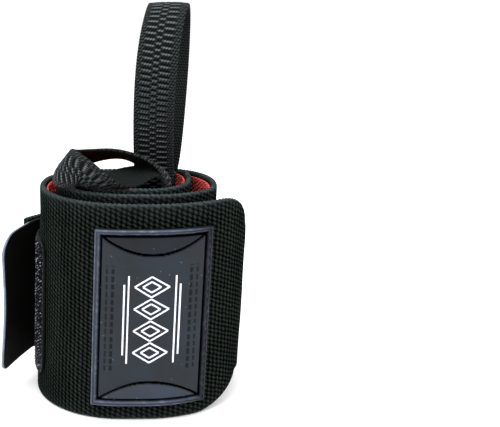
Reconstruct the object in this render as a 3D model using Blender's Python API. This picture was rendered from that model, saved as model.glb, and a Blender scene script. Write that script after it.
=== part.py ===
"""Wrist wrap: an elastic wrist support, rolled up, standing on its long edge.

A wide knitted band is wound into a roll with its black face out and its red
face in. Its outer end narrows to a tail that passes behind the roll and
carries a stiff closing tab, and two webbing thumb loops are sewn to its inner
end, in the core. Metres, +Z up, front of the roll towards -Y.
"""
import math

import bmesh
import bpy
import numpy as np
from mathutils import Vector

MM = 0.001

# Band: black knit outside, red knit inside
BAND_WIDTH = 75.5 * MM
BAND_WALL = 2.1 * MM
LINING_WALL = 0.7 * MM
LINING_INSET = 1.6 * MM
FIT_GAP = 0.3 * MM
STACK = BAND_WALL + FIT_GAP + LINING_WALL
TURN_RISE = 2.0 * MM
CORE_RISE = 1.6 * MM
LEAN = 0.063

# Tail: the narrow stretch past the rounded shoulders at the outer end
TAIL_WIDTH = 51.5 * MM
TAIL_FOOT = 9.6 * MM
SHOULDER_LENGTH = 19.0 * MM
SHOULDER_FROM_MIDDLE = 26.5 * MM
CORNER_LENGTH = 17.0 * MM
CORNER_FROM_MIDDLE = 31.0 * MM

# Roll: free space in the core, measured from the roll's middle
CORE_BACK = 10.9 * MM
CORE_LEFT = 18.9 * MM
CORE_FRONT = 14.9 * MM
CORE_RIGHT = 15.4 * MM

# Badge: one moulded rubber plate sewn on the front
BADGE_WIDTH = 38.2 * MM
BADGE_HEIGHT = 61.6 * MM
BADGE_WALL = 1.5 * MM
BADGE_FOOT = 5.9 * MM
BADGE_FROM_MIDDLE = 9.0 * MM
LIP_WIDTH = 2.2 * MM
LIP_RISE = 0.6 * MM
ARC_DEPTH = 7.0 * MM
ARC_RISE = 0.5 * MM
ARC_MARGIN = 0.8 * MM

# Closing tab on the tail's end, and the hook pad that it fastens to
TAB_WALL = 1.3 * MM
TAB_HEIGHT = 50.3 * MM
TAB_OVERLAP = 20.0 * MM
TAB_REACH = 20.5 * MM
TAB_TOP_CORNER = 12.0 * MM
TAB_FOOT_CORNER = 3.0 * MM
PAD_WALL = 1.0 * MM
PAD_LENGTH = 26.0 * MM
PAD_HEIGHT = 50.0 * MM
PAD_CORNER = 6.0 * MM
PAD_FOOT = 8.4 * MM
PAD_FROM_MIDDLE = 31.3 * MM

# Thumb loops: flat elastic webbing, sewn to the band's inner end
WEB_WIDTH = 14.6 * MM
WEB_WALL = 1.2 * MM
SEAM_DEPTH = 15.0 * MM
TALL_HEIGHT = 60.0 * MM
TALL_DEPTH = 24.0 * MM
TEARDROP_PEAK = 3.0 * math.sqrt(3.0) / 8.0
TALL_FROM_MIDDLE = 7.0 * MM
TALL_LEAN = 6.5 * MM
TALL_FRONT_SWEEP = 1.9
TALL_BACK_SWEEP = 0.5
TALL_TURN = 0.17
SMALL_REACH = 36.0 * MM
SMALL_SPREAD = 22.0 * MM
SMALL_CREST = 9.0 * MM

PATH_STEP = 2.6 * MM
LOOP_STEPS = 48

# One row for each side passed, from the inner end outwards. slack is the free
# room to the turn inside it. start and end bound the straight stretch, as
# shares of the reach of the side just left and of the side ahead.
TURNS = [
    {"side": "back", "slack": 0.0 * MM, "start": 0.66, "end": 0.36},
    {"side": "left", "slack": 0.0 * MM, "start": 0.20, "end": 0.00},
    {"side": "front", "slack": 0.0 * MM, "start": 0.15, "end": 0.30},
    {"side": "right", "slack": 0.0 * MM, "start": 0.10, "end": 0.10},
    {"side": "back", "slack": 6.6 * MM, "start": 0.62, "end": 0.45},
    {"side": "left", "slack": 4.9 * MM, "start": 0.42, "end": -0.35},
    {"side": "front", "slack": 2.4 * MM, "start": 0.00, "end": 0.30},
    {"side": "right", "slack": 6.4 * MM, "start": 0.20, "end": -0.15},
    {"side": "back", "slack": 3.4 * MM, "start": 0.10, "end": 0.45},
    {"side": "left", "slack": 3.4 * MM, "start": 0.45, "end": -0.43},
    {"side": "front", "slack": 1.4 * MM, "start": 0.00, "end": 0.205},
    {"side": "right", "slack": 7.9 * MM, "start": 0.04, "end": 0.20},
    {"side": "back", "slack": 2.4 * MM, "start": 0.35, "end": 0.33},
    {"side": "left", "slack": 8.9 * MM, "start": -0.13, "end": 0.165},
]
FLOOR_TURN = 8
FULL_TURN = 10
OUTWARD = {
    "back": Vector((0.0, 1.0)),
    "left": Vector((-1.0, 0.0)),
    "front": Vector((0.0, -1.0)),
    "right": Vector((1.0, 0.0)),
}
CORE = {
    "back": CORE_BACK,
    "left": CORE_LEFT,
    "front": CORE_FRONT,
    "right": CORE_RIGHT,
}

# Small loop, root to root: along, across and up are shares of its reach,
# spread and crest; heading and pitch aim one edge of the webbing, in degrees.
SMALL_STATIONS = [
    {"along": 0.000, "across": -0.018, "up": -1.50, "heading": -90, "pitch": 0},
    {"along": 0.000, "across": -0.018, "up": -0.40, "heading": -90, "pitch": 0},
    {"along": 0.028, "across": -0.036, "up": 0.22, "heading": -88, "pitch": 0},
    {"along": 0.117, "across": -0.091, "up": 0.36, "heading": -80, "pitch": -2},
    {"along": 0.233, "across": -0.264, "up": 0.32, "heading": -66, "pitch": -8},
    {"along": 0.367, "across": -0.555, "up": 0.22, "heading": -54, "pitch": -12},
    {"along": 0.511, "across": -0.873, "up": 0.21, "heading": -56, "pitch": 14},
    {"along": 0.606, "across": -1.036, "up": 0.47, "heading": -62, "pitch": 42},
    {"along": 0.694, "across": -1.055, "up": 0.71, "heading": -80, "pitch": 70},
    {"along": 0.806, "across": -0.964, "up": 0.76, "heading": -120, "pitch": 84},
    {"along": 0.900, "across": -0.736, "up": 0.69, "heading": 31, "pitch": 60},
    {"along": 0.939, "across": -0.391, "up": 0.62, "heading": 5, "pitch": 50},
    {"along": 0.906, "across": -0.036, "up": 0.64, "heading": -33, "pitch": 40},
    {"along": 0.783, "across": 0.136, "up": 0.78, "heading": -73, "pitch": 30},
    {"along": 0.600, "across": 0.145, "up": 0.93, "heading": -95, "pitch": 18},
    {"along": 0.433, "across": 0.036, "up": 0.96, "heading": -102, "pitch": 20},
    {"along": 0.278, "across": -0.091, "up": 0.78, "heading": -104, "pitch": 32},
    {"along": 0.139, "across": -0.082, "up": 0.58, "heading": -98, "pitch": 30},
    {"along": 0.028, "across": -0.036, "up": 0.33, "heading": -92, "pitch": 14},
    {"along": -0.044, "across": -0.023, "up": -0.09, "heading": -90, "pitch": 0},
    {"along": -0.047, "across": -0.018, "up": -0.50, "heading": -90, "pitch": 0},
    {"along": -0.047, "across": -0.018, "up": -1.50, "heading": -90, "pitch": 0},
]

COLOURS = {
    "band": (0.020, 0.022, 0.023),
    "red_inner_face": (0.55, 0.035, 0.020),
    "badge": (0.050, 0.060, 0.085),
    "hook_tab": (0.018, 0.018, 0.017),
    "hook_pad": (0.030, 0.030, 0.032),
    "tall_loop": (0.026, 0.028, 0.030),
    "small_loop": (0.026, 0.028, 0.030),
}


def side_reaches():
    """Distance of each turn's outer face from the roll's middle."""
    reaches = []
    for index, turn in enumerate(TURNS):
        inside = reaches[index - 4] if index >= 4 else CORE[turn["side"]]
        reaches.append(inside + STACK + turn["slack"])
    return reaches


def corner(start, end, side, ahead, steps=24):
    """Quarter ellipse that turns from one side of the roll to the next."""
    depth = (start - end).dot(side)
    width = (end - start).dot(ahead)
    middle = start - side * depth
    points = []
    for step in range(1, steps):
        angle = 0.5 * math.pi * step / steps
        points.append(middle + side * depth * math.cos(angle) + ahead * width * math.sin(angle))
    return points


def roll_path():
    """Plan of the band's outer face, inner end first, with each side's middle."""
    reaches = side_reaches()
    ends = reaches[1:] + [reaches[-1]]
    points = []
    marks = []
    last = len(TURNS) - 1
    for index, turn in enumerate(TURNS):
        side = OUTWARD[turn["side"]]
        ahead = Vector((-side.y, side.x))
        before = reaches[index - 1] if index else CORE_RIGHT + STACK
        after = ends[index] if index < last else reaches[last - 3]
        begin = side * reaches[index] - ahead * before * turn["start"]
        stop = side * reaches[index] + ahead * after * turn["end"]
        if points:
            previous = OUTWARD[TURNS[index - 1]["side"]]
            points += corner(points[-1], begin, previous, side)
        points.append(begin)
        marks.append(len(points) - 1)
        if (stop - begin).length > 0.1 * MM:
            points.append(stop)
    return points, marks


class RollPath:
    """Positions along the rolled band, by length from its inner end."""

    def __init__(self):
        points, marks = roll_path()
        self.plan = np.array([(p.x, p.y) for p in points])
        hops = np.linalg.norm(np.diff(self.plan, axis=0), axis=1)
        self.length_at = np.concatenate([[0.0], np.cumsum(hops)])
        self.marks = self.length_at[marks]
        self.length = self.length_at[-1]

    def point(self, length):
        x = np.interp(length, self.length_at, self.plan[:, 0])
        y = np.interp(length, self.length_at, self.plan[:, 1])
        return Vector((float(x), float(y)))

    def outward(self, length):
        ahead = self.point(min(length + 0.4 * MM, self.length))
        back = self.point(max(length - 0.4 * MM, 0.0))
        run = (ahead - back).normalized()
        return Vector((run.y, -run.x))

    def find(self, x, low, high):
        """Length at which the path reaches x, between two lengths."""
        lengths = np.linspace(low, high, 400)
        gaps = [abs(self.point(length).x - x) for length in lengths]
        return float(lengths[int(np.argmin(gaps))])

    def place(self, length, offset, height):
        """World position on the leaning roll, offset outwards from its face."""
        plan = self.point(length) + self.outward(length) * offset
        return Vector((plan.x + LEAN * (height - 0.5 * BAND_WIDTH), plan.y, height))


PATH = RollPath()
SHOULDER_START = PATH.find(SHOULDER_FROM_MIDDLE, PATH.marks[10], PATH.marks[11])
CORNER_START = PATH.find(CORNER_FROM_MIDDLE, PATH.marks[10], PATH.marks[11])
TAIL_END = PATH.length - TAB_REACH


def shoulder(length, start, reach, power, root):
    """Share of a rounded shoulder's drop at a length along the band, 0 to 1."""
    share = min(max((length - start) / reach, 0.0), 1.0)
    return 1.0 - (1.0 - share ** power) ** root


def edge_heights(length):
    """Foot and top of the band at a length along it."""
    turn = float(np.interp(length, PATH.marks, range(len(PATH.marks))))
    rise = CORE_RISE * max(FLOOR_TURN - turn, 0.0) / FLOOR_TURN
    ease = min(max((FULL_TURN - turn) / (FULL_TURN - FLOOR_TURN), 0.0), 1.0)
    foot = rise
    top = BAND_WIDTH + rise + TURN_RISE * ease
    climb = shoulder(length, SHOULDER_START, SHOULDER_LENGTH, 1.3, 0.625)
    foot += (TAIL_FOOT - foot) * climb
    drop = shoulder(length, CORNER_START, CORNER_LENGTH, 2.0, 0.5)
    top += (TAIL_FOOT + TAIL_WIDTH - top) * drop
    return foot, top


def all_stations():
    """Lengths at which every strip is sectioned, finer on the shoulders."""
    count = int(round(PATH.length / PATH_STEP))
    stations = list(np.linspace(0.0, PATH.length, count + 1))
    for share in (0.0, 0.15, 0.3, 0.45, 0.6, 0.72, 0.82, 0.9, 0.95, 0.98, 1.0):
        stations.append(SHOULDER_START + share * SHOULDER_LENGTH)
        stations.append(CORNER_START + share * CORNER_LENGTH)
    return sorted(stations)


STATIONS = all_stations()


def path_lengths(low, high, extra=()):
    """The shared stations between two ends, with any extra ones."""
    closest = 0.1 * MM
    kept = [low]
    for station in sorted(STATIONS + list(extra)):
        if kept[-1] + closest < station < high - closest:
            kept.append(station)
    return kept + [high]


def add_object(name, mesh_builder):
    """Object from a bmesh, with its own material and smooth faces."""
    mesh = bpy.data.meshes.new(name)
    bmesh.ops.recalc_face_normals(mesh_builder, faces=mesh_builder.faces)
    if mesh_builder.calc_volume(signed=True) < 0.0:
        bmesh.ops.reverse_faces(mesh_builder, faces=mesh_builder.faces)
    mesh_builder.to_mesh(mesh)
    mesh_builder.free()
    mesh.shade_smooth()
    mesh.set_sharp_from_angle(angle=math.radians(40))
    mesh.materials.append(make_material(name))
    obj = bpy.data.objects.new(name, mesh)
    bpy.context.collection.objects.link(obj)
    return obj


def make_material(name):
    material = bpy.data.materials.new(name)
    material.use_nodes = True
    shader = material.node_tree.nodes["Principled BSDF"]
    shader.inputs["Base Color"].default_value = (*COLOURS[name], 1.0)
    shader.inputs["Roughness"].default_value = 0.5 if name == "badge" else 0.9
    shader.inputs["Metallic"].default_value = 0.0
    return material


def loft(name, rings):
    """Closed solid through rings of equal length, capped at both ends."""
    builder = bmesh.new()
    rows = []
    for ring in rings:
        rows.append([builder.verts.new(point) for point in ring])
    for row, following in zip(rows, rows[1:]):
        for index in range(len(row)):
            after = (index + 1) % len(row)
            builder.faces.new((row[index], row[after], following[after], following[index]))
    builder.faces.new(rows[0])
    builder.faces.new(list(reversed(rows[-1])))
    return add_object(name, builder)


def strip(name, lengths, inner, outer, heights):
    """Strip that follows the roll between two offsets from its outer face."""
    rings = []
    for length in lengths:
        foot, top = heights(length)
        rings.append([
            PATH.place(length, outer, foot),
            PATH.place(length, outer, top),
            PATH.place(length, inner, top),
            PATH.place(length, inner, foot),
        ])
    return loft(name, rings)


def lining_heights(length):
    foot, top = edge_heights(length)
    return foot + LINING_INSET, top - LINING_INSET


def band():
    strip("band", path_lengths(0.0, TAIL_END), -BAND_WALL, 0.0, edge_heights)


def red_inner_face():
    lengths = path_lengths(LINING_INSET, TAIL_END - LINING_INSET)
    strip("red_inner_face", lengths, -STACK, -BAND_WALL - FIT_GAP, lining_heights)


def rounded_plate(name, start, length, foot, height, corners, inner, outer):
    """Plate on the roll with rounded corners, one radius for each corner.

    corners holds the radii as (foot start, top start, top end, foot end).
    """
    extra = []
    for radius in corners:
        for step in range(1, 7):
            reach = radius * (1.0 - math.cos(0.5 * math.pi * step / 6))
            extra += [start + reach, start + length - reach]
    stations = path_lengths(start, start + length, extra)

    def inset(distance, radius):
        """Height lost at a distance from an end with a rounded corner."""
        if distance >= radius:
            return 0.0
        return radius - math.sqrt(max(radius ** 2 - (radius - distance) ** 2, 0.0))

    def heights(station):
        along = station - start
        low = max(inset(along, corners[0]), inset(length - along, corners[3]))
        high = max(inset(along, corners[1]), inset(length - along, corners[2]))
        return foot + low, foot + height - high

    return strip(name, stations, inner, outer, heights)


def hook_tab():
    start = TAIL_END - TAB_OVERLAP
    outer = -STACK - FIT_GAP
    corners = (TAB_FOOT_CORNER, TAB_FOOT_CORNER, TAB_TOP_CORNER, TAB_FOOT_CORNER)
    foot = TAIL_FOOT + 0.5 * (TAIL_WIDTH - TAB_HEIGHT)
    rounded_plate("hook_tab", start, TAB_OVERLAP + TAB_REACH, foot, TAB_HEIGHT, corners,
                  outer - TAB_WALL, outer)


def hook_pad():
    front = PATH.find(-PAD_FROM_MIDDLE, PATH.marks[9], PATH.marks[10])
    corners = (PAD_CORNER,) * 4
    rounded_plate("hook_pad", front - PAD_LENGTH, PAD_LENGTH, PAD_FOOT, PAD_HEIGHT, corners,
                  FIT_GAP, FIT_GAP + PAD_WALL)


def badge_relief(along, up):
    """Height of the badge's face above its plate, from its foot left corner."""
    edge = min(along, BADGE_WIDTH - along, up, BADGE_HEIGHT - up)
    if edge < LIP_WIDTH:
        return LIP_RISE
    field_width = BADGE_WIDTH - 2.0 * LIP_WIDTH
    share = (along - LIP_WIDTH) / field_width
    sagitta = ARC_DEPTH * (1.0 - (2.0 * share - 1.0) ** 2)
    from_end = min(up, BADGE_HEIGHT - up) - LIP_WIDTH
    if ARC_MARGIN < from_end < sagitta - ARC_MARGIN:
        return ARC_RISE
    return 0.0


def doubled(cuts, size):
    """Cuts with a close pair at each edge, so that steps stay crisp."""
    crisp = 0.15 * MM
    out = set()
    for cut in cuts:
        out.add(cut)
    for edge in (LIP_WIDTH, size - LIP_WIDTH):
        out.add(edge - crisp)
        out.add(edge + crisp)
    ordered = sorted(out)
    kept = [ordered[0]]
    for cut in ordered[1:]:
        if cut - kept[-1] > 0.5 * crisp:
            kept.append(cut)
    return kept


def badge():
    """Moulded plate with a raised lip and an arched field at each end."""
    builder = bmesh.new()
    across = doubled(np.linspace(0.0, BADGE_WIDTH, 21), BADGE_WIDTH)
    fine = list(np.linspace(0.0, LIP_WIDTH + ARC_DEPTH, 12))
    middle = list(np.linspace(LIP_WIDTH + ARC_DEPTH, BADGE_HEIGHT - LIP_WIDTH - ARC_DEPTH, 8))
    upright = doubled(fine + middle + [BADGE_HEIGHT - cut for cut in fine], BADGE_HEIGHT)
    centre = PATH.find(BADGE_FROM_MIDDLE, PATH.marks[9], PATH.marks[11])
    start = centre - 0.5 * BADGE_WIDTH
    faces = []
    for layer in ("back", "face"):
        grid = []
        for up in upright:
            row = []
            for along in across:
                offset = FIT_GAP
                if layer == "face":
                    offset += BADGE_WALL + badge_relief(along, up)
                row.append(builder.verts.new(PATH.place(start + along, offset, BADGE_FOOT + up)))
            grid.append(row)
        faces.append(grid)
    back, face = faces
    last_row = len(upright) - 1
    last_column = len(across) - 1
    for grid in faces:
        for i in range(last_row):
            for j in range(last_column):
                builder.faces.new((grid[i][j], grid[i][j + 1], grid[i + 1][j + 1], grid[i + 1][j]))
    for i in range(last_row):
        for j in (0, last_column):
            builder.faces.new((back[i][j], face[i][j], face[i + 1][j], back[i + 1][j]))
    for j in range(last_column):
        for i in (0, last_row):
            builder.faces.new((back[i][j], face[i][j], face[i][j + 1], back[i][j + 1]))
    add_object("badge", builder)


def smooth_route(points, count):
    """Points at even spacing on a smooth curve through the given rows."""
    rows = np.array(points)
    padded = np.vstack([2 * rows[0] - rows[1], rows, 2 * rows[-1] - rows[-2]])
    dense = []
    for index in range(1, len(padded) - 2):
        p0, p1, p2, p3 = padded[index - 1:index + 3]
        for t in np.linspace(0.0, 1.0, 12, endpoint=False):
            dense.append(0.5 * (2 * p1 + (p2 - p0) * t + (2 * p0 - 5 * p1 + 4 * p2 - p3) * t ** 2
                                + (3 * p1 - p0 - 3 * p2 + p3) * t ** 3))
    dense.append(padded[-2])
    dense = np.array(dense)
    hops = np.linalg.norm(np.diff(dense[:, :3], axis=0), axis=1)
    lengths = np.concatenate([[0.0], np.cumsum(hops)])
    wanted = np.linspace(0.0, lengths[-1], count + 1)
    return np.stack([np.interp(wanted, lengths, column) for column in dense.T], axis=1)


def webbing(name, stations):
    """Flat webbing along stations of (x, y, z, edge x, edge y, edge z)."""
    route = smooth_route(stations, LOOP_STEPS)
    places = route[:, :3]
    runs = np.gradient(places, axis=0)
    rings = []
    for place, run, edge in zip(places, runs, route[:, 3:]):
        run = run / np.linalg.norm(run)
        edge = edge - run * np.dot(edge, run)
        edge = edge / np.linalg.norm(edge)
        face = np.cross(run, edge)
        ring = []
        for across, through in ((-1, -1), (1, -1), (1, 1), (-1, 1)):
            ring.append(Vector(place + 0.5 * across * WEB_WIDTH * edge
                               + 0.5 * through * WEB_WALL * face))
        rings.append(ring)
    return loft(name, rings)


def rim_height():
    return edge_heights(0.0)[1]


def seam_place():
    """Middle of the band's inner end, in plan, where the tall loop is sewn."""
    back = side_reaches()[0]
    return TALL_FROM_MIDDLE, back - 0.5 * STACK


def tall_loop():
    """Upright teardrop whose two ends hold the band's inner end between them."""
    x_seam, y_seam = seam_place()
    apart = 0.5 * STACK + FIT_GAP + 0.5 * WEB_WALL
    rim = rim_height()
    stations = []
    for up in (-SEAM_DEPTH, -0.5 * SEAM_DEPTH):
        stations.append((x_seam, y_seam - apart, rim + up, -1.0, 0.0, 0.0))
    steps = 28
    for step in range(steps + 1):
        angle = 2.0 * math.pi * step / steps
        share = 0.5 * (1.0 - math.cos(angle))
        depth = -apart * math.cos(0.5 * angle)
        depth -= 0.5 * TALL_DEPTH * math.sin(angle) * share / TEARDROP_PEAK
        side = TALL_LEAN * share ** (TALL_FRONT_SWEEP if step <= steps // 2 else TALL_BACK_SWEEP)
        turn = TALL_TURN * math.sin(math.pi * min(share, 0.5))
        edge = (-math.cos(turn), math.sin(turn), 0.0)
        x = x_seam + side
        stations.append((x, y_seam + depth, rim + TALL_HEIGHT * share, *edge))
    for up in (-0.5 * SEAM_DEPTH, -SEAM_DEPTH):
        stations.append((x_seam, y_seam + apart, rim + up, -1.0, 0.0, 0.0))
    webbing("tall_loop", stations)


def small_loop():
    """Loop that leaves the seam upright and lies down over the left rim."""
    x_seam, y_seam = seam_place()
    tall_face = y_seam - 0.5 * STACK - FIT_GAP - WEB_WALL
    y_root = tall_face - FIT_GAP - 0.5 * WEB_WIDTH
    x_root = x_seam + 0.5 * WEB_WIDTH - 2.7 * MM
    rim = rim_height()
    stations = []
    for row in SMALL_STATIONS:
        heading = math.radians(row["heading"])
        pitch = math.radians(row["pitch"])
        stations.append((
            x_root - row["along"] * SMALL_REACH,
            y_root + row["across"] * SMALL_SPREAD,
            rim + row["up"] * SMALL_CREST,
            math.cos(heading) * math.cos(pitch),
            math.sin(heading) * math.cos(pitch),
            math.sin(pitch),
        ))
    webbing("small_loop", stations)


def centre_on_floor():
    """Move the finished pieces so that the box's bottom middle is the origin."""
    corners = []
    for obj in bpy.data.objects:
        corners += [vertex.co for vertex in obj.data.vertices]
    low = Vector([min(corner[axis] for corner in corners) for axis in range(3)])
    high = Vector([max(corner[axis] for corner in corners) for axis in range(3)])
    middle = Vector((0.5 * (low.x + high.x), 0.5 * (low.y + high.y), low.z))
    for obj in bpy.data.objects:
        obj.location = -middle


def main():
    for obj in list(bpy.data.objects):
        bpy.data.objects.remove(obj, do_unlink=True)
    band()
    red_inner_face()
    badge()
    hook_tab()
    hook_pad()
    tall_loop()
    small_loop()
    centre_on_floor()


main()
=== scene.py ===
"""Looks of the rolled wrist wrap, dressed over its solid frame.

Laid out as a Blender add-on and run as a script. Lengths are metres.
"""
import math

import bpy
import numpy as np
from bpy.props import FloatProperty, PointerProperty, StringProperty
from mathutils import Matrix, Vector


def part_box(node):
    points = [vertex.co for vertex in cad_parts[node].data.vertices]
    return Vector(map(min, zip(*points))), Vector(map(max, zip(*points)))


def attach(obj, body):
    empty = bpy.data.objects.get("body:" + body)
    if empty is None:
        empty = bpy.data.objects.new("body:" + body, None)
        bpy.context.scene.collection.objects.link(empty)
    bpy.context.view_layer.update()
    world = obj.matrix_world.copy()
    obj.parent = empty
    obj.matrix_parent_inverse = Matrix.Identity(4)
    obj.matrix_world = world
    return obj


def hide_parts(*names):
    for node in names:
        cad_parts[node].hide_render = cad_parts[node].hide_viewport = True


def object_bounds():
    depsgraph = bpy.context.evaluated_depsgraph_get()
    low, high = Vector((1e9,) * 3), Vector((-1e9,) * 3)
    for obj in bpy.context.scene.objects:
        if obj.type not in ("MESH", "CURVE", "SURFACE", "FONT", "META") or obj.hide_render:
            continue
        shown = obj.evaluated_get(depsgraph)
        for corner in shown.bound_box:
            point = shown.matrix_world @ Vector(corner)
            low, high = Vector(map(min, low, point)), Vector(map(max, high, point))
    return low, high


bl_info = {
    "name": "Rolled Wrist Wrap",
    "version": (1, 0, 0),
    "blender": (4, 5, 0),
    "location": "3D View > Sidebar > Wrist Wrap",
    "description": "Dresses a rolled wrist wrap in knit, rubber and webbing",
    "category": "Object",
}

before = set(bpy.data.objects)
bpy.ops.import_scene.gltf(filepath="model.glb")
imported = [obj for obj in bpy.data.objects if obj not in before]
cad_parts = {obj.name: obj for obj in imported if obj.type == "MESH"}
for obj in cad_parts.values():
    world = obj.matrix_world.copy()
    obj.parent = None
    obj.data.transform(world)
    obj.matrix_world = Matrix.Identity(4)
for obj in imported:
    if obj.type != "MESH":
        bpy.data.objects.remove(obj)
CAD_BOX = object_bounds()

MM = 0.001

# Rolled band, as in the solid frame
BAND_WIDTH = 75.5 * MM
BAND_WALL = 2.1 * MM
LINING_WALL = 0.7 * MM
LINING_INSET = 1.6 * MM
FIT_GAP = 0.3 * MM
STACK = BAND_WALL + FIT_GAP + LINING_WALL
TURN_RISE = 2.0 * MM
CORE_RISE = 1.6 * MM
LEAN = 0.063
CORE = {"back": 10.9 * MM, "left": 18.9 * MM, "front": 14.9 * MM, "right": 15.4 * MM}

# Narrow tail past the rounded shoulders at the outer end, as in the solid frame
TAIL_WIDTH = 51.5 * MM
TAIL_FOOT = 9.6 * MM
SHOULDER_LENGTH = 19.0 * MM
SHOULDER_FROM_MIDDLE = 26.5 * MM
CORNER_LENGTH = 17.0 * MM
CORNER_FROM_MIDDLE = 31.0 * MM

# Knit's selvages, the crease beside them and the ripple of the courses
SELVAGE_WIDTH = 0.8 * MM
CREASE_INSET = 2.6 * MM
CREASE_WIDTH = 0.5 * MM
CREASE_DEPTH = 0.22 * MM
RIPPLE_HEIGHT = 0.06 * MM
# Length over which the painted shadow under the outer turn fades in at each end
PAINTED_SHADOW_FADE = 18.0 * MM
BAND_WAVES = (23.0 * MM, 41.0 * MM)

# Badge's plate, as in the solid frame
BADGE_WIDTH = 38.2 * MM
BADGE_HEIGHT = 61.6 * MM
BADGE_WALL = 1.5 * MM
BADGE_FOOT = 5.9 * MM
BADGE_FROM_MIDDLE = 9.0 * MM
ARC_DEPTH = 7.0 * MM

# Badge's relief, finer than in the solid frame
LIP_WIDTH = 1.6 * MM
LIP_SLOPE = 0.35 * MM
PLATE_EDGE = 1.1 * MM
RIM_GROOVE = {"width": 0.8 * MM, "depth": 0.6 * MM}
ARC_GROOVE = {"width": 0.85 * MM, "depth": 0.5 * MM}
DASH_COLUMNS = (5.4 * MM, BADGE_WIDTH - 5.8 * MM)
DASH_SPREAD = 0.95 * MM
DASH_WIDTH = 0.9 * MM
DASH_DEPTH = 0.09 * MM
DASH_PITCH = 2.6 * MM
DASH_SHARE = 0.72
DASH_REACH = 37.0 * MM

# How dark the badge's parts are painted, from 0 light to 1 black; the foot arc's light is a painted
# reflection, and the darkness of the top arc and of the lip's far side is painted shade
FIELD_SHADE = 0.25
FOOT_ARC_PAINTED_LIGHT = 0.0
TOP_ARC_PAINTED_SHADE = 0.5
LIP_SHADE = 0.12
FAR_LIP_PAINTED_SHADE = 0.7

# Badge's printed inlay: upright rails with lozenges between them
INLAY_MARGIN = 15.5 * MM
INLAY_WIDTH = 0.55 * MM
INLAY_RISE = 0.22 * MM
INLAY_RAILS = (
    {"reach": 7.6 * MM, "inset": 0.0 * MM},
    {"reach": 9.0 * MM, "inset": 3.0 * MM},
)
LOZENGES = 4
LOZENGE_REACH = 5.6 * MM
LOZENGE_HEIGHT = 0.46
LOZENGE_SCALES = (1.0, 0.52)

# Closing tab: plain sizes as in the solid frame, corners, flare and droop of its own
TAB_WALL = 1.3 * MM
TAB_HEIGHT = 50.3 * MM
TAB_OVERLAP = 20.0 * MM
TAB_REACH = 20.5 * MM
TAB_TOP_CORNER = 8.0 * MM
TAB_FOOT_CORNER = 3.6 * MM
TAB_FLARE = 2.4 * MM
TAB_BOW = 0.9 * MM
TAB_DROOP = 2.7 * MM
TAB_WAVES = (18.0 * MM, 33.0 * MM)
TAB_UNEVEN = 0.25 * MM
RIM_INSET = 0.25 * MM

# Hook patch: the solid's sizes, set a little nearer to the middle, and its hooks
PAD_LENGTH = 26.0 * MM
PAD_HEIGHT = 50.0 * MM
PAD_CORNER = 6.0 * MM
PAD_FOOT = 8.4 * MM
PAD_FROM_MIDDLE = 29.9 * MM
PAD_BASE = 0.55 * MM
HOOK_RADIUS = 0.17 * MM
HOOK_MARGIN = 1.2 * MM
HOOK_START = 1.4 * MM
HOOK_SHIFT = 0.12 * MM
HOOK_BEND = (0.15 * MM, 0.4 * MM)
HOOK_RISES_MM = (-0.1, 0.2, 0.38, 0.34)

# Stitches of the badge and of the other seams
BADGE_STITCH = {"pitch": 2.9 * MM, "length": 2.1 * MM, "radius": 0.14 * MM}
SEAM_STITCH = {"pitch": 2.4 * MM, "length": 1.8 * MM, "radius": 0.16 * MM}
BADGE_SEAM_INSET = 1.1 * MM
PAD_SEAM_INSET = 0.8 * MM
TAB_SEAM_INSET = 1.8 * MM
TAIL_SEAM_INSETS = (2.2 * MM, 5.0 * MM)

# Webbing and its loops, as in the solid frame
WEB_WIDTH = 14.6 * MM
WEB_WALL = 1.2 * MM
SEAM_DEPTH = 15.0 * MM
TALL_HEIGHT = 60.0 * MM
TALL_DEPTH = 24.0 * MM
TEARDROP_PEAK = 3.0 * math.sqrt(3.0) / 8.0
TALL_FROM_MIDDLE = 7.0 * MM
TALL_LEAN = 6.5 * MM
TALL_FRONT_SWEEP = 1.9
TALL_BACK_SWEEP = 0.5
TALL_TURN = 0.17
SMALL_REACH = 36.0 * MM
SMALL_SPREAD = 22.0 * MM
SMALL_CREST = 9.0 * MM

# Small loop's arch across its width, and passes that smooth its two edges
SMALL_BULGE = 0.9 * MM
EDGE_SOFTENING = 260

# Weave of the webbing: yarn spacing, and twill of its borders
YARN_PITCH = 1.05 * MM
YARN_ROW = 1.0 * MM
TWILL_PITCH = 1.35 * MM
TWILL_SLOPE = 1.5 * MM

# Columns of bars in the webbing: middle and half width, and shift in pitches
RIB_COLUMNS = [
    {"middle": -3.0 * MM, "half": 1.95 * MM, "shift": 0.0},
    {"middle": 0.1 * MM, "half": 1.15 * MM, "shift": 0.5},
    {"middle": 3.2 * MM, "half": 1.95 * MM, "shift": 0.0},
]

# Steps of the fine meshes
KNIT_STEP = 0.8 * MM
KNIT_ROW = 3.0 * MM
LINING_STEP = 0.65 * MM
LINING_ROW = 5.0 * MM
LINING_SHOWN = 15.0 * MM
BADGE_STEP = 0.35 * MM
TAB_STEP = 0.7 * MM
TAB_ROW = 1.2 * MM
PAD_STEP = 0.5 * MM
PAD_ROW = 1.0 * MM
WEB_STEP = 0.42 * MM
WEB_ROW = 0.44 * MM

# Camera, from the roll's middle on the floor
CAMERA_OFFSET = Vector((42.0 * MM, -312.8 * MM, 138.4 * MM))
CAMERA_PITCH = math.radians(13.0)
CAMERA_LENS = 64.8

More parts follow.
